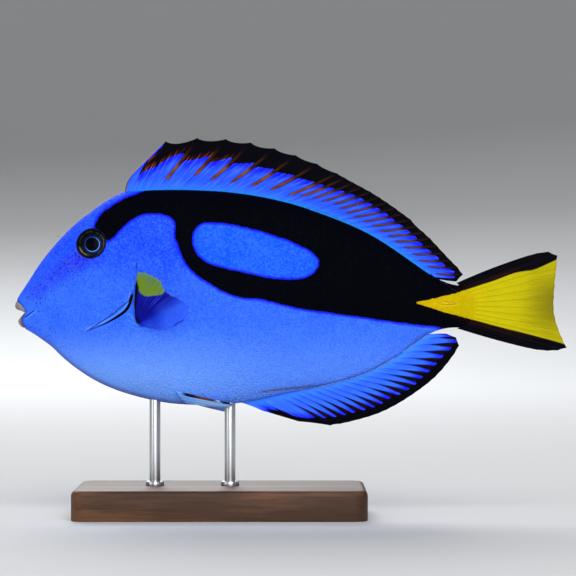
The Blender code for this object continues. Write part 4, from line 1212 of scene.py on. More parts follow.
def soft_ridges(columns, climb, spine_count, splits):
    """Ridge height from 0 to 1: single spines, and soft rays that branch towards the edge."""
    offset = np.abs(ray_offset(columns))[None, :]
    single = ridge_share(offset, 0.17)
    twin = ridge_share(np.abs(offset - 0.11 * ease(climb, 0.35, 1.0)), 0.11)
    if splits > 1:
        quad = ridge_share(np.abs(np.abs(offset - 0.16) - 0.07), 0.06)
        twin = twin * (1.0 - ease(climb, 0.66, 0.8)) + quad * ease(climb, 0.66, 0.8)
    branch = ease(climb, 0.3, 0.5)
    soft = single * (1.0 - branch) + twin * branch
    is_spine = (np.round(columns) < spine_count)[None, :]
    return np.where(is_spine, ridge_share(offset, 0.13), soft)


def fin_thickness(ridges, climb):
    """Thickness of a membrane with its rays, thick at the root and thin at the edge."""
    ray = ROOT_THICKNESS + (RAY_TIP_THICKNESS - ROOT_THICKNESS) * climb ** 0.8
    web = WEB_ROOT_THICKNESS + (WEB_THICKNESS - WEB_ROOT_THICKNESS) * climb ** 0.4
    return web + (ray - web) * ridges


def banded_fin_paint(name, colours, dark_from, base_blue, web_blue, line_share):
    """Blue lobes between dark streaks, a black margin and fine lines along the rays.

    The brown streaks begin to darken at dark_from, in millimetres inside the black margin,
    and line_share is the strength of the brown lines on that margin.
    """
    paint = Paint(name)
    layout = paint.uv("Rays")
    hair = paint.noise(paint.stretched(layout, (14.0, 1.2, 1.0)), 1.0, 3.0)
    cloud = paint.noise(paint.stretched(layout, (2.0, 2.0, 1.0)), 1.0, 2.0)
    margin = paint.attribute("margin") + (hair - 0.5) * paint.attribute("ragged")
    streak = paint.attribute("streak") + (hair - 0.5) * 0.4
    root = paint.attribute("root")
    blue = paint.mix(root.step(0.5, 7.0), base_blue, web_blue)
    blue = blue.glazed(margin.step(6.0, 0.8), srgb(16, 14, 236))
    blue = blue.glazed(hair.step(0.45, 0.7) * 0.4, srgb(84, 140, 255))
    blue = blue.glazed(hair.step(0.45, 0.25) * 0.5, srgb(20, 40, 214))
    blue = blue.glazed(root.step(0.75, 0.4) * 0.4, colours.cyan)
    brown = paint.mix(cloud.step(0.3, 0.7), colours.brown, srgb(96, 46, 4))
    soft = paint.part(layout, 0).step(8.0, 12.0)
    brown = brown.glazed(soft * 0.7, srgb(84, 60, 14))
    brown = brown.glazed(streak.step(-0.34, -0.06) * 0.9, srgb(20, 8, 8))
    dark = paint.mix(margin.step(dark_from, -0.5) * 0.95, brown, colours.stripe)
    edge_tone = paint.mix(hair.step(0.5, 0.8) * 0.5, colours.stripe, srgb(22, 7, 5))
    lines = streak.step(-0.25, -0.6) * margin.step(-9.0, -1.0) * (1.0 - soft * 0.6)
    edge_tone = edge_tone.glazed(lines * line_share, srgb(58, 30, 6))
    fringe = paint.attribute("fringe")
    edge_tone = edge_tone.glazed(fringe * margin.step(-3.2, -0.3) * hair.step(0.46, 0.66), srgb(124, 50, 6))
    blue = blue.glazed(streak.step(0.6, 0.15) * root.step(2.0, 4.0) * 0.5, srgb(16, 20, 190))
    colour = paint.mix(streak.step(0.12, -0.12), blue, dark)
    colour = colour.glazed(margin.step(0.2, -0.2), edge_tone)
    ribs = paint.noise(paint.stretched(layout, (3.0, 26.0, 1.0)), 1.0, 2.0)
    bumped = paint.bump(hair * 0.7 + ribs * 0.3, 0.3, 0.12)
    return paint.set(Base_Color=colour, Roughness=0.45 + hair * 0.12, Specular_IOR_Level=0.02, Normal=bumped)


def tail_paint(colours):
    """Yellow web between black borders, with green rays that darken to the rear."""
    paint = Paint("tail_membrane")
    layout = paint.uv("Rays")
    hair = paint.noise(paint.stretched(layout, (8.0, 0.9, 1.0)), 1.0, 3.0)
    length = paint.part(paint.place(), 0)
    yellow = paint.attribute("yellow") + (hair - 0.5) * 0.5
    web = web_colour(paint, colours)
    ray = paint.attribute("ridge") * length.step(0.076, 0.104)
    web = web.glazed(ray * 0.3, colours.olive)
    fine = paint.noise(paint.stretched(layout, (24.0, 0.7, 1.0)), 1.0, 2.0)
    web = web.glazed(fine.step(0.5, 0.32) * length.step(0.066, 0.1) * 0.5, srgb(134, 122, 4))
    web = web.glazed(hair.step(0.5, 0.3) * length.step(0.078, 0.1) * 0.35, srgb(128, 118, 4))
    black = paint.mix(hair.step(0.5, 0.8) * 0.4, colours.stripe, srgb(24, 14, 4))
    brown = yellow.step(-3.4, -0.4) * hair.step(0.42, 0.66) * length.step(0.1, 0.084)
    black = black.glazed(brown * 0.8, srgb(52, 22, 4))
    colour = paint.mix(yellow.step(-0.2, 0.25), black, web)
    ribs = paint.noise(paint.stretched(layout, (3.0, 22.0, 1.0)), 1.0, 2.0)
    bumped = paint.bump(hair * 0.6 + ribs * 0.4, 0.3, 0.12)
    return paint.set(Base_Color=colour, Roughness=0.48 + hair * 0.1, Specular_IOR_Level=0.03, Normal=bumped)


class TANG_OT_median_fins(bpy.types.Operator):
    """Model the dorsal, anal and tail fins with their spines and branching rays"""

    bl_idname = "blue_tang.median_fins"
    bl_label = "Dorsal, Anal and Tail Fins"

    def execute(self, context):
        colours = context.scene.blue_tang_colours
        per_ray = context.scene.blue_tang_sizes.columns_per_ray
        self.dorsal(colours, per_ray)
        self.anal(colours, per_ray)
        self.tail(colours, per_ray)
        return {"FINISHED"}

    @staticmethod
    def dorsal(colours, per_ray):
        """Nine spines and a long soft part that ends over the tail stalk."""
        spines = len(DORSAL_SPINE_FEET)
        feet_x, tips = spiny_row(DORSAL_SPINE_FEET, DORSAL_SPINE_TIPS, DORSAL_LAST_FOOT, DORSAL_SOFT_EDGE,
                                 DORSAL_SOFT_RAYS)
        feet = np.stack((feet_x, back(feet_x) - 4.0 * SKIN_INSET), axis=1)
        sags = DORSAL_SAGS + (DORSAL_SOFT_SAG,) * DORSAL_SOFT_RAYS
        bows = (DORSAL_FIRST_BOW,) + (DORSAL_BOW,) * (len(tips) - 1)
        columns = fin_columns(len(feet), per_ray)
        middle, _, thickness, root, edge = rayed_grid(feet, tips, sags, bows, DORSAL_ROWS, columns, spines, 1)
        spacing = ray_spacing(middle, columns)
        is_spine = ease(columns, spines + 1.6, spines - 1.6)
        part = columns - np.floor(columns)
        drops = np.array(DORSAL_LOBE_DROPS + (0.0,) * DORSAL_SOFT_RAYS)
        drops = drops[columns.astype(int).clip(0, len(tips) - 2)]
        lobe = crossing(middle, root, DORSAL_LOBE_LINE) - (1.0 - part) * drops
        lobe -= 0.6 * (2.0 * part - 1.0) ** 2 * (1.0 - is_spine)
        lobe = np.where(columns < 0.5, root[-1] + 1.0, lobe)
        lobe -= 14.0 * ease(columns, len(tips) - 1.5, len(tips) - 1.1)
        margin = np.where(columns < 1.0, np.maximum(lobe - root, 1.5 - edge), lobe - root)
        start = crossing(middle, root, DORSAL_STREAK_LINE)
        half = (0.74 + 0.2 * is_spine) * ease(root, start - 0.1, start + 0.9 + 0.4 * is_spine)
        half = half * (0.74 + 0.26 * ease(columns, 27.0, 20.0)) - 0.08 + 0.2 * ease(root, lobe - 3.0, lobe)
        nearest = np.round(columns)
        half = np.where(nearest == 0.0, 0.6, np.where(nearest == 1.0, -2.0, half))
        streak = np.abs(ray_offset(columns))[None, :] * spacing - half
        fields = {
            "root": root, "margin": margin, "streak": streak,
            "ragged": 0.5 + 2.2 * is_spine, "fringe": ease(columns, 4.2, 2.6),
        }
        paint = banded_fin_paint("dorsal_membrane", colours, 3.5, srgb(40, 104, 250), srgb(36, 76, 236), 0.8)
        piece = fin_sheet("dorsal_fin_skin", middle, columns[None, :], thickness, SIDEWAYS, paint, fields)
        hand_over(piece, "fin_membrane", "dorsal_fin")

    @staticmethod
    def anal(colours, per_ray):
        """Three spines and a long soft part under the tail stalk."""
        feet_x, tips = spiny_row(ANAL_SPINE_FEET, ANAL_SPINE_TIPS, ANAL_LAST_FOOT, ANAL_SOFT_EDGE,
                                 ANAL_SOFT_RAYS)
        feet = np.stack((feet_x, belly(feet_x) + SKIN_INSET), axis=1)
        sags = ANAL_SAGS + (ANAL_SOFT_SAG,) * (ANAL_SOFT_RAYS - 1)
        columns = fin_columns(len(feet), per_ray)
        middle, _, thickness, root, _ = rayed_grid(
            feet, tips, sags, (ANAL_BOW,) * len(tips), ANAL_ROWS, columns, len(ANAL_SPINE_FEET), 1)
        spacing = ray_spacing(middle, columns)
        part = columns - np.floor(columns)
        lobe = crossing(middle, root, ANAL_LOBE_LINE) + 0.4 - 1.2 * (2.0 * part - 1.0) ** 2
        lobe = np.where(columns < 0.4, root[-1] + 1.0, lobe)
        start = crossing(middle, root, ANAL_STREAK_LINE)
        half = 1.24 * ease(root, start - 0.8, lobe + 0.8) * ease(columns, 22.5, 18.0) - 0.08
        half = np.where(np.round(columns) == 0.0, -1.0, half)
        offset = np.abs(ray_offset(columns))[None, :]
        fields = {
            "root": root, "margin": lobe - root, "streak": offset * spacing - half,
            "ragged": np.full(len(columns), 0.8), "fringe": np.zeros(len(columns)),
        }
        paint = banded_fin_paint("anal_membrane", colours, 70.0, srgb(56, 128, 252), srgb(44, 100, 246), 0.0)
        piece = fin_sheet("anal_fin_skin", middle, columns[None, :], thickness, SIDEWAYS, paint, fields)
        hand_over(piece, "fin_membrane", "anal_fin")

    @staticmethod
    def tail(colours, per_ray):
        """The tail fin's rays fan out from the rounded end of the stalk and branch twice."""
        shares = np.linspace(0.0, 1.0, TAIL_RAYS)
        feet = along(TAIL_ROOT_LINE, shares) - (TAIL_ROOT_DEPTH, 0.0)
        tips = along(TAIL_EDGE, shares)
        columns = fin_columns(TAIL_RAYS, per_ray * 2)
        sags = (TAIL_SAG,) * (TAIL_RAYS - 1)
        bows = np.linspace(*TAIL_BOWS, TAIL_RAYS)
        middle, ridges, thickness, root, _ = rayed_grid(feet, tips, sags, bows, TAIL_ROWS, columns, 0, 2)
        yellow = inside_distance(middle[..., 0], middle[..., 2], YELLOW_OUTLINE)
        fields = {"root": root, "ridge": ridges, "yellow": yellow}
        piece = fin_sheet("tail_fin_skin", middle, columns[None, :], thickness, SIDEWAYS,
                          tail_paint(colours), fields)
        hand_over(piece, "tail_membrane", "tail_fin")


def pectoral_paint():
    """Olive patch, dark blue fan, black leading ray and a clearer rear part."""
    paint = Paint("pectoral_membrane")
    layout = paint.uv("Rays")
    hair = paint.noise(paint.stretched(layout, (5.0, 0.7, 1.0)), 1.0, 3.0)
    fine = paint.noise(paint.stretched(layout, (11.0, 0.5, 1.0)), 1.0, 1.0)
    root = paint.attribute("root")
    fan = paint.part(layout, 0)
    patch = paint.attribute("patch") + (hair - 0.5) * 2.0
    rear = fan.step(6.0, 9.0)
    far_out = root.step(6.0, 13.0)
    navy = paint.mix(rear, srgb(5, 4, 124), srgb(16, 34, 204))
    navy = navy.glazed(rear * far_out, srgb(50, 90, 255))
    navy = navy.glazed(fine.step(0.45, 0.65) * (0.16 + far_out * 0.5), srgb(42, 60, 214))
    navy = navy.glazed(fine.step(0.4, 0.25) * 0.6, srgb(4, 4, 84))
    green = paint.mix(hair.step(0.46, 0.66) * 0.7, srgb(108, 136, 4), srgb(74, 118, 112))
    green = green.glazed(root.step(16.0, 21.0) * 0.4, srgb(78, 118, 112))
    colour = paint.mix(patch.step(-0.3, 0.3), navy, green)
    colour = colour.glazed(fan.step(1.0, 0.4) * (1.0 - patch.step(0.3, 1.0)), srgb(2, 2, 16))
    colour = colour.glazed(root.step(2.6, 0.8) * fan.step(9.0, 6.0) * 0.85, srgb(3, 4, 24))
    # Painted shadow: a dark blue streak along the fin's lower trailing edge, which is also kept opaque.
    trailing_shadow = fan.step(10.6, 11.2) * fan.step(12.4, 11.8) * paint.attribute("edge").step(1.2, 0.5)
    colour = colour.glazed(trailing_shadow * 0.9, srgb(10, 12, 150))
    clear = 1.0 - rear * root.step(0.2, 1.6) * (1.0 - trailing_shadow) * (0.7 + far_out * 0.12)
    bumped = paint.bump(hair, 0.2, 0.08)
    return paint.set(Base_Color=colour, Roughness=0.5, Specular_IOR_Level=0.04, Alpha=clear, Normal=bumped)


def pelvic_paint():
    """Pale blue web, a dark streak along the upper edge and a black spot near the tip."""
    paint = Paint("pelvic_membrane")
    layout = paint.uv("Rays")
    hair = paint.noise(paint.stretched(layout, (6.0, 1.0, 1.0)), 1.0, 3.0)
    fan = paint.part(layout, 0)
    climb = paint.attribute("climb")
    web = paint.mix(hair.step(0.35, 0.7), srgb(128, 182, 255), srgb(158, 204, 255))
    web = web.glazed(climb.step(0.45, 0.1), srgb(112, 166, 255))
    streak = fan.step(0.8, 0.5) * climb.step(0.05, 0.2) * climb.step(0.82, 0.7)
    spot = fan.step(1.1, 0.8) * climb.step(0.8, 0.86)
    dark = paint.mix(climb.step(0.3, 0.5) * climb.step(0.8, 0.6), srgb(8, 4, 24), srgb(112, 62, 12))
    dark = dark.glazed(hair.step(0.45, 0.6) * 0.6, srgb(12, 6, 24))
    colour = paint.mix(streak.high(spot), web, dark)
    lower = fan.step(2.3, 2.7) * climb.step(0.4, 0.6)
    colour = colour.glazed(lower * 0.5, srgb(120, 90, 170))
    return paint.set(Base_Color=colour, Roughness=0.5, Specular_IOR_Level=0.05,
                     Normal=paint.bump(hair, 0.2, 0.08))


class TANG_OT_paired_fins(bpy.types.Operator):
    """Model the pectoral and pelvic fins of both sides"""

    bl_idname = "blue_tang.paired_fins"
    bl_label = "Pectoral and Pelvic Fins"

    def execute(self, context):
        per_ray = context.scene.blue_tang_sizes.columns_per_ray
        fan_paint = pectoral_paint()
        belly_paint = pelvic_paint()
        for word, side in SIDES:
            self.pectoral(word, side, per_ray, fan_paint)
            self.pelvic(word, side, per_ray, belly_paint)
        return {"FINISHED"}

    @staticmethod
    def pectoral(word, side, per_ray, material):
        """A fan of rays that lies flat at its root and stands off the flank at its tips."""
        tips = np.array(PECTORAL_TIPS)
        feet = along(PECTORAL_ROOT, np.linspace(0.0, 1.0, len(tips)))
        columns = fin_columns(len(tips), per_ray)
        foot = between_rays(feet, columns)
        tip = between_rays(tips, columns)
        part = columns - np.floor(columns)
        run = tip[:, :2] - foot
        length = np.linalg.norm(run, axis=1)
        tip[:, :2] -= (PECTORAL_SAG * 4.0 * part * (1.0 - part) / length)[:, None] * run
        run = tip[:, :2] - foot
        climb = np.linspace(0.0, 1.0, PECTORAL_ROWS)[:, None]
        bow = np.linspace(*PECTORAL_BOWS, len(columns))[None, :] * 4.0 * climb * (1.0 - climb)
        x = foot[:, 0] + run[:, 0] * climb + run[:, 1] / length * bow
        z = foot[:, 1] + run[:, 1] * climb - run[:, 0] / length * bow
        lift = GAP + ROOT_THICKNESS / 2.0 + tip[:, 2] * climb ** PECTORAL_CURL
        middle = off_flank_seen(x, z, lift) * (1.0, side, 1.0)
        ridges = soft_ridges(columns, climb, 1, 1)
        root, edge = fin_fields(middle)
        fields = {"root": root, "edge": edge, "patch": inside_distance(x, z, PECTORAL_PATCH)}
        thickness = fin_thickness(ridges * 0.5, climb) * 0.8
        piece = fin_sheet("pectoral_fin_skin_" + word, middle, columns[None, :], thickness, None, material,
                          fields)
        hand_over(piece, "fin_membrane", "pectoral_fin_" + word)

    @staticmethod
    def pelvic(word, side, per_ray, material):
        """One spine and three rays, folded back along the belly."""
        roots = np.array(PELVIC_ROOTS)
        feet = off_flank(roots[:, 0], roots[:, 1], np.full(len(roots), GAP + PELVIC_THICKNESS / 2.0 + 0.1))
        drop = PELVIC_RIGHT_DROP if side < 0 else 0.0
        tips = np.array(PELVIC_TIPS) - (0.0, 0.0, drop)
        columns = fin_columns(len(roots), per_ray * 2)
        foot = between_rays(feet, columns)
        tip = between_rays(tips, columns)
        climb = np.linspace(0.0, 1.0, PELVIC_ROWS)[:, None, None]
        droop = 0.9 * climb * (1.0 - climb) * np.array((0.0, -1.6, -1.0))
        middle = (foot[None] + (tip - foot)[None] * climb + droop) * (1.0, side, 1.0)
        climb = climb[..., 0]
        ridges = soft_ridges(columns, climb, 1, 1)
        root, _ = fin_fields(middle)
        thickness = (PELVIC_THICKNESS + (0.4 - PELVIC_THICKNESS) * climb) * (0.8 + 0.2 * ridges)
        fields = {"root": root, "climb": climb}
        piece = fin_sheet("pelvic_fin_skin_" + word, middle, columns[None, :], thickness, None, material,
                          fields)
        hand_over(piece, "pale_membrane", "pelvic_fin_" + word)


def eye_paint():
    """Black pupil, pale blue ring with a painted reflection, and a dark iris flecked with gold, under a clear
    coat.
    """
    paint = Paint("eye_glass")
    ring = paint.attribute("ring")
    up = paint.attribute("up")
    rear = paint.attribute("rear")
    place = paint.place()
    fleck = paint.noise(place, 900.0, 4.0)
    cloud = paint.noise(place, 330.0, 3.0)
    ring = ring + (cloud - 0.5) * 0.3
    iris = paint.mix(cloud.step(0.35, 0.7), srgb(1, 3, 10), srgb(14, 18, 16))
    band = ring.step(4.2, 4.7) * ring.step(5.7, 5.3) * fleck.step(0.4, 0.6)
    iris = iris.glazed(band * 0.9, srgb(48, 50, 16))
    line = ring.step(4.65, 4.9) * ring.step(5.4, 5.15) * fleck.step(0.25, 0.5)
    low_rear = (rear * 0.95 - up * 0.3).step(0.45, 0.95)
    iris = iris.glazed(line * low_rear * 0.8, srgb(120, 96, 50))
    low_front = (rear * -0.72 - up * 0.69).step(0.82, 0.98)
    iris = iris.glazed(line * low_front * 0.7, srgb(156, 140, 90))
    pupil = paint.attribute("pupil") + (cloud - 0.5) * 0.15
    # The thin pale ring round the pupil is the eye's own. Its lower rear side is painted brighter as a
    # painted reflection, and a painted blue glow lies beside it in the iris.
    halo = pupil.step(2.65, 2.82) * pupil.step(3.16, 2.94)
    reflection_side = (rear * 0.75 - up * 0.65).step(-0.8, 0.7)
    pale = paint.mix(reflection_side, srgb(36, 66, 130), srgb(86, 136, 220))
    glow_reflection = pupil.step(4.4, 3.2) * pupil.step(2.6, 2.9)
    colour = paint.mix(glow_reflection * (0.08 + reflection_side * 0.14), iris, srgb(10, 56, 170))
    colour = colour.glazed(halo * (0.5 + reflection_side * 0.45), pale)
    colour = colour.glazed(pupil.step(2.75, 2.55), srgb(1, 2, 14))
    colour = colour.glazed(ring.step(5.5, 5.7), srgb(1, 2, 10))
    return paint.set(Base_Color=colour, Roughness=0.35, Specular_IOR_Level=0.02,
                     Coat_Weight=0.01, Coat_Roughness=0.04)


def rim_paint():
    """Dark skin ring round the eye."""
    paint = Paint("eye_rim_skin")
    cloud = paint.noise(paint.place(), 500.0, 3.0)
    colour = paint.mix(cloud.step(0.3, 0.7), srgb(2, 4, 16), srgb(10, 18, 60))
    return paint.set(Base_Color=colour, Roughness=0.5, Specular_IOR_Level=0.05)


def turned_to(direction):
    """A rotation that turns +Z to a direction."""
    return Vector(direction).to_track_quat("Z", "Y").to_matrix().to_4x4()


class TANG_OT_eyes(bpy.types.Operator):
    """Model the eyeballs and the skin rings round them"""

    bl_idname = "blue_tang.eyes"
    bl_label = "Eyes"

    def execute(self, context):
        glass = eye_paint()
        rim = rim_paint()
        for word, side in SIDES:
            turn = np.array((1.0, side, 1.0))
            out = EYE_OUT * turn
            centre = (EYE_SKIN * turn) + out * (EYE_PROUD - EYE_HALF_DEPTH)
            deselect()
            bpy.ops.mesh.primitive_uv_sphere_add(segments=64, ring_count=40, radius=1.0)
            ball = context.object
            ball.name = "eyeball_" + word
            ball.data.shade_smooth()
            points = np.array([v.co for v in ball.data.vertices])
            radius = np.hypot(points[:, 0], points[:, 1])
            points[:, 2] *= EYE_HALF_DEPTH * (1.0 - 0.12 * np.clip(points[:, 2], 0.0, 1.0))
            points[:, :2] *= EYE_RADIUS
            flat = radius * EYE_RADIUS
            front = points[:, 2] > 0.0
            points[:, 2] += 0.35 * ease(flat, PUPIL_RADIUS + 0.7, PUPIL_RADIUS - 0.6) * front
            frame_turn = turned_to(out)
            for vertex, spot in zip(ball.data.vertices, points):
                vertex.co = Vector(spot)
            ball.matrix_world = Matrix.Translation(to_world(centre)) @ frame_turn @ TO_METRES
            x, z = seen(points @ np.array(frame_turn.to_3x3()).T + centre)
            ring = np.where(front, np.hypot(x - IRIS_SEEN[0], z - IRIS_SEEN[1]), EYE_RADIUS)
            pupil = np.where(front, np.hypot(x - PUPIL_SEEN[0], z - PUPIL_SEEN[1]), EYE_RADIUS)
            spread = np.maximum(ring, 0.3)
            fields = {
                "ring": ring, "pupil": pupil,
                "up": (z - IRIS_SEEN[1]) / spread, "rear": (x - IRIS_SEEN[0]) / spread,
            }
            for field, values in fields.items():
                layer = ball.data.attributes.new(field, "FLOAT", "POINT")
                layer.data.foreach_set("value", values.astype(np.float32))
            settle(ball, glass, "eye", "eye_" + word)
            deselect()
            bpy.ops.mesh.primitive_torus_add(
                major_radius=EYE_RADIUS + EYE_RIM_GAP, minor_radius=EYE_RIM_THICKNESS,
                major_segments=72, minor_segments=14)
            lid = context.object
            lid.name = "eye_rim_" + word
            lid.data.shade_smooth()
            lid_place = to_world(EYE_SKIN * turn - out * EYE_RIM_GAP)
            lid.matrix_world = Matrix.Translation(lid_place) @ frame_turn @ TO_METRES
            settle(lid, rim, "skin")
        return {"FINISHED"}


def bone_paint():
    """Pale spine, clouded with a darker yellow."""
    paint = Paint("spine_bone")
    cloud = paint.noise(paint.place(), 600.0, 3.0)
    colour = paint.mix(cloud.step(0.3, 0.7), srgb(206, 182, 40), srgb(176, 146, 20))
    return paint.set(Base_Color=colour, Roughness=0.4, Specular_IOR_Level=0.2)


class TANG_OT_tail_spines(bpy.types.Operator):
    """Model the folded spine on each side of the tail stalk"""

    bl_idname = "blue_tang.tail_spines"
    bl_label = "Tail Spines"

    def execute(self, context):
        bone = bone_paint()
        half_length = (SPINE_REAR_X - SPINE_FRONT_X) / 2.0
        for word, side in SIDES:
            deselect()
            bpy.ops.mesh.primitive_uv_sphere_add(segments=32, ring_count=24, radius=1.0)
            blade = context.object
            blade.name = "tail_spine_blade_" + word
            blade.data.shade_smooth()
            for vertex in blade.data.vertices:
                x, y, z = vertex.co
                slim = 0.35 + 0.65 * (x + 1.0) / 2.0
                half = float(flank(np.array(SPINE_MIDDLE_X + x * half_length), np.array(SPINE_Z)))
                out = -side * (half - 0.16)
                vertex.co = Vector((x * half_length, out + y * 0.42 * slim, z * 0.46 * slim))
            blade.matrix_world = Matrix.Translation(to_world((SPINE_MIDDLE_X, 0.0, SPINE_Z))) @ TO_METRES
            settle(blade, bone, "bone", "tail_spine_" + word)
        return {"FINISHED"}


def bevel_edges(piece, width, segments, chosen):
    """Round the edges of the active piece that a test picks by their two end points."""
    bpy.ops.object.mode_set(mode="EDIT")
    bpy.ops.mesh.select_mode(type="EDGE")
    bpy.ops.mesh.select_all(action="DESELECT")
    bpy.ops.object.mode_set(mode="OBJECT")
    points = piece.data.vertices
    for edge in piece.data.edges:
        edge.select = chosen(points[edge.vertices[0]].co, points[edge.vertices[1]].co)
    bpy.ops.object.mode_set(mode="EDIT")
    bpy.ops.mesh.bevel(offset=width, segments=segments, affect="EDGES")
    bpy.ops.object.mode_set(mode="OBJECT")


def oak_paint(colours):
    """Long wood grain with a waxed sheen."""
    paint = Paint("stand_wood")
    place = paint.place()
    flow = paint.stretched(place, (6.0, 60.0, 60.0))
    grain = paint.noise(flow, 1.0, 6.0, 0.62)
    fibre = paint.noise(paint.stretched(place, (60.0, 1400.0, 1400.0)), 1.0, 3.0)
    rings = (grain * 14.0).math("SINE") * 0.5 + 0.5
    colour = paint.mix(rings.step(0.1, 0.95), colours.oak, srgb(62, 38, 22))
    colour = colour.glazed(fibre.step(0.45, 0.75) * 0.35, srgb(34, 20, 12))
    bumped = paint.bump(rings * 0.3 + fibre * 0.7, 0.25, 0.06)
    return paint.set(Base_Color=colour, Roughness=0.5 + fibre * 0.16, Specular_IOR_Level=0.3, Normal=bumped)


def steel_paint():
    """Steel with fine upright brush marks."""
    paint = Paint("rod_brushed_steel")
    brushed = paint.noise(paint.stretched(paint.place(), (900.0, 900.0, 12.0)), 1.0, 3.0)
    colour = paint.mix(brushed.step(0.3, 0.7), srgb(168, 170, 174), srgb(206, 208, 212))
    return paint.set(Base_Color=colour, Metallic=1.0, Roughness=0.22 + brushed * 0.16)


class TANG_OT_stand(bpy.types.Operator):
    """Model the stand's base, rods and collars"""

    bl_idname = "blue_tang.stand"
    bl_label = "Stand"

    def execute(self, context):
        low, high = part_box("stand_base")
        oak = oak_paint(context.scene.blue_tang_colours)
        steel = steel_paint()
        deselect()
        size = Vector(high) - Vector(low)
        bpy.ops.mesh.primitive_cube_add(size=1.0, location=(Vector(low) + Vector(high)) / 2.0, scale=size)
        plinth = context.object
        plinth.name = "stand_plinth"
        bpy.ops.object.transform_apply(location=True, rotation=False, scale=True)
        bevel_edges(plinth, CORNER_ROUND * MM, 10, lambda a, b: abs(a.z - b.z) > MM)
        bevel_edges(plinth, TOP_ROUND * MM, 6, lambda a, b: min(a.z, b.z) > high[2] - MM)
        bevel_edges(plinth, FOOT_ROUND * MM, 2, lambda a, b: max(a.z, b.z) < low[2] + MM)
        bpy.ops.object.shade_smooth_by_angle(angle=math.radians(40.0))
        settle(plinth, oak, "base_wood", "stand_base")
        for word, x in ROD_X.items():
            foot_z = BASE_TOP - MOUTH_HEIGHT
            head_z = float(belly(x))
            self.bar("rod_" + word, x, foot_z - ROD_IN_BASE, head_z + ROD_IN_BODY - ROD_SLACK,
                     ROD_RADIUS - ROD_GAP, ROD_ROUND, steel, "stand_rod_" + word)
            self.bar("rod_collar_" + word, x, foot_z - COLLAR_SINK, foot_z + COLLAR_HEIGHT,
                     ROD_RADIUS + COLLAR_WIDTH, COLLAR_ROUND, steel)
        return {"FINISHED"}

    @staticmethod
    def bar(name, x, low, high, radius, edge, material, *nodes):
        """An upright round bar with rounded ends."""
        deselect()
        bpy.ops.mesh.primitive_cylinder_add(vertices=64, radius=radius * MM, depth=(high - low) * MM,
                                            location=to_world((x, 0.0, (low + high) / 2.0)))
        bar = bpy.context.object
        bar.name = name
        bevel = bar.modifiers.new("round", "BEVEL")
        bevel.width = edge * MM
        bevel.segments = 4
        bevel.limit_method = "ANGLE"
        bpy.ops.object.modifier_apply(modifier="round")
        bar.data.shade_smooth()
        bar.data.set_sharp_from_angle(angle=math.radians(50.0))
        settle(bar, material, "rod_steel", *nodes)


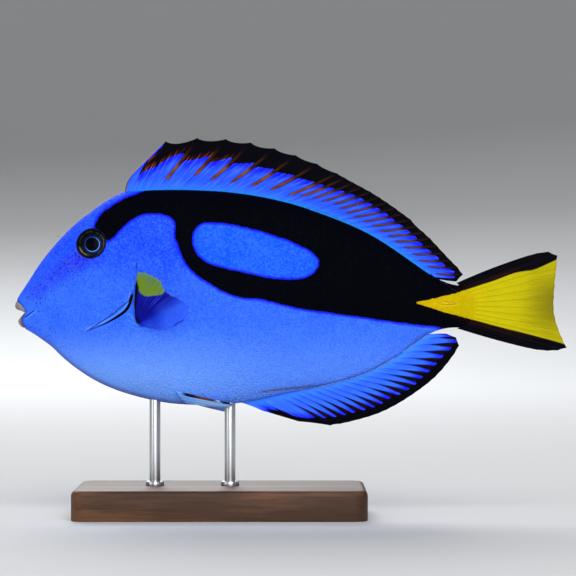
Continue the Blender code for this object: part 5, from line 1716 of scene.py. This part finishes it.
class TANG_OT_stage(bpy.types.Operator):
    """Set the pale floor, the soft lights and the camera"""

    bl_idname = "blue_tang.stage"
    bl_label = "Stage"

    def execute(self, context):
        self.floor(context)
        for light in LIGHTS:
            self.light(*light)
        world = context.scene.world or bpy.data.worlds.new("studio")
        context.scene.world = world
        world.use_nodes = True
        backdrop = world.node_tree.nodes["Background"]
        backdrop.inputs["Color"].default_value = (*WORLD_COLOUR, 1.0)
        backdrop.inputs["Strength"].default_value = WORLD_STRENGTH
        context.scene.view_settings.view_transform = "Standard"
        camera_data = bpy.data.cameras.new("view")
        camera_data.lens = LENS_MM
        camera_data.sensor_width = SENSOR_MM
        camera = bpy.data.objects.new("view", camera_data)
        context.scene.collection.objects.link(camera)
        camera.location = (VIEW_CENTRE_X, -VIEW_WIDTH * LENS_MM / SENSOR_MM, VIEW_CENTRE_Z)
        camera.rotation_euler = (math.pi / 2.0, 0.0, 0.0)
        camera_data.clip_start = 0.01
        camera_data.clip_end = 60.0
        context.scene.camera = camera
        return {"FINISHED"}

    @staticmethod
    def floor(context):
        """A round floor that curves up into a wall all round."""
        deselect()
        bpy.ops.mesh.primitive_cylinder_add(
            vertices=96, radius=FLOOR_RADIUS, depth=WALL_HEIGHT, location=(0.0, 0.0, WALL_HEIGHT / 2.0))
        floor = context.object
        floor.name = "studio_floor"
        bpy.ops.object.transform_apply(location=True)
        bpy.ops.object.mode_set(mode="EDIT")
        bpy.ops.mesh.select_mode(type="FACE")
        bpy.ops.mesh.select_all(action="DESELECT")
        bpy.ops.object.mode_set(mode="OBJECT")
        for face in floor.data.polygons:
            face.select = face.center.z > WALL_HEIGHT - 0.1
        bpy.ops.object.mode_set(mode="EDIT")
        bpy.ops.mesh.delete(type="FACE")
        bpy.ops.object.mode_set(mode="OBJECT")
        bevel_edges(floor, WALL_BEND, 16, lambda a, b: max(a.z, b.z) < 0.1)
        bpy.ops.object.mode_set(mode="EDIT")
        bpy.ops.mesh.select_all(action="SELECT")
        bpy.ops.mesh.flip_normals()
        bpy.ops.object.mode_set(mode="OBJECT")
        floor.data.shade_smooth()
        paint = Paint("studio_paper")
        floor.data.materials.append(paint.set(Base_Color=FLOOR_COLOUR, Roughness=0.9))

    @staticmethod
    def light(name, place, size, power, colour):
        """A large soft light aimed at the fish."""
        data = bpy.data.lights.new(name, "AREA")
        data.size = size
        data.energy = power
        data.color = colour
        lamp = bpy.data.objects.new(name, data)
        bpy.context.scene.collection.objects.link(lamp)
        lamp.location = place
        lamp.rotation_euler = (Vector(AIM) - Vector(place)).to_track_quat("-Z", "Y").to_euler()


OPERATORS = (
    TANG_OT_skin, TANG_OT_scales, TANG_OT_median_fins, TANG_OT_paired_fins, TANG_OT_eyes,
    TANG_OT_tail_spines, TANG_OT_stand, TANG_OT_stage,
)


class TANG_PT_panel(bpy.types.Panel):
    """Sizes, colours and steps of the blue tang model"""

    bl_label = "Blue Tang"
    bl_idname = "TANG_PT_panel"
    bl_space_type = "VIEW_3D"
    bl_region_type = "UI"
    bl_category = "Blue Tang"

    def draw(self, context):
        for group in (context.scene.blue_tang_sizes, context.scene.blue_tang_colours):
            box = self.layout.box()
            for name in group.__annotations__:
                box.prop(group, name)
        for operator in OPERATORS:
            self.layout.operator(operator.bl_idname)


CLASSES = (BlueTangSizes, BlueTangColours, *OPERATORS, TANG_PT_panel)


def register():
    for item in CLASSES:
        bpy.utils.register_class(item)
    bpy.types.Scene.blue_tang_sizes = bpy.props.PointerProperty(type=BlueTangSizes)
    bpy.types.Scene.blue_tang_colours = bpy.props.PointerProperty(type=BlueTangColours)


def unregister():
    del bpy.types.Scene.blue_tang_colours
    del bpy.types.Scene.blue_tang_sizes
    for item in reversed(CLASSES):
        bpy.utils.unregister_class(item)


def main():
    """Register the tools and make every piece in order."""
    register()
    for operator in OPERATORS:
        group, name = operator.bl_idname.split(".")
        getattr(getattr(bpy.ops, group), name)()


if __name__ == "__main__":
    main()
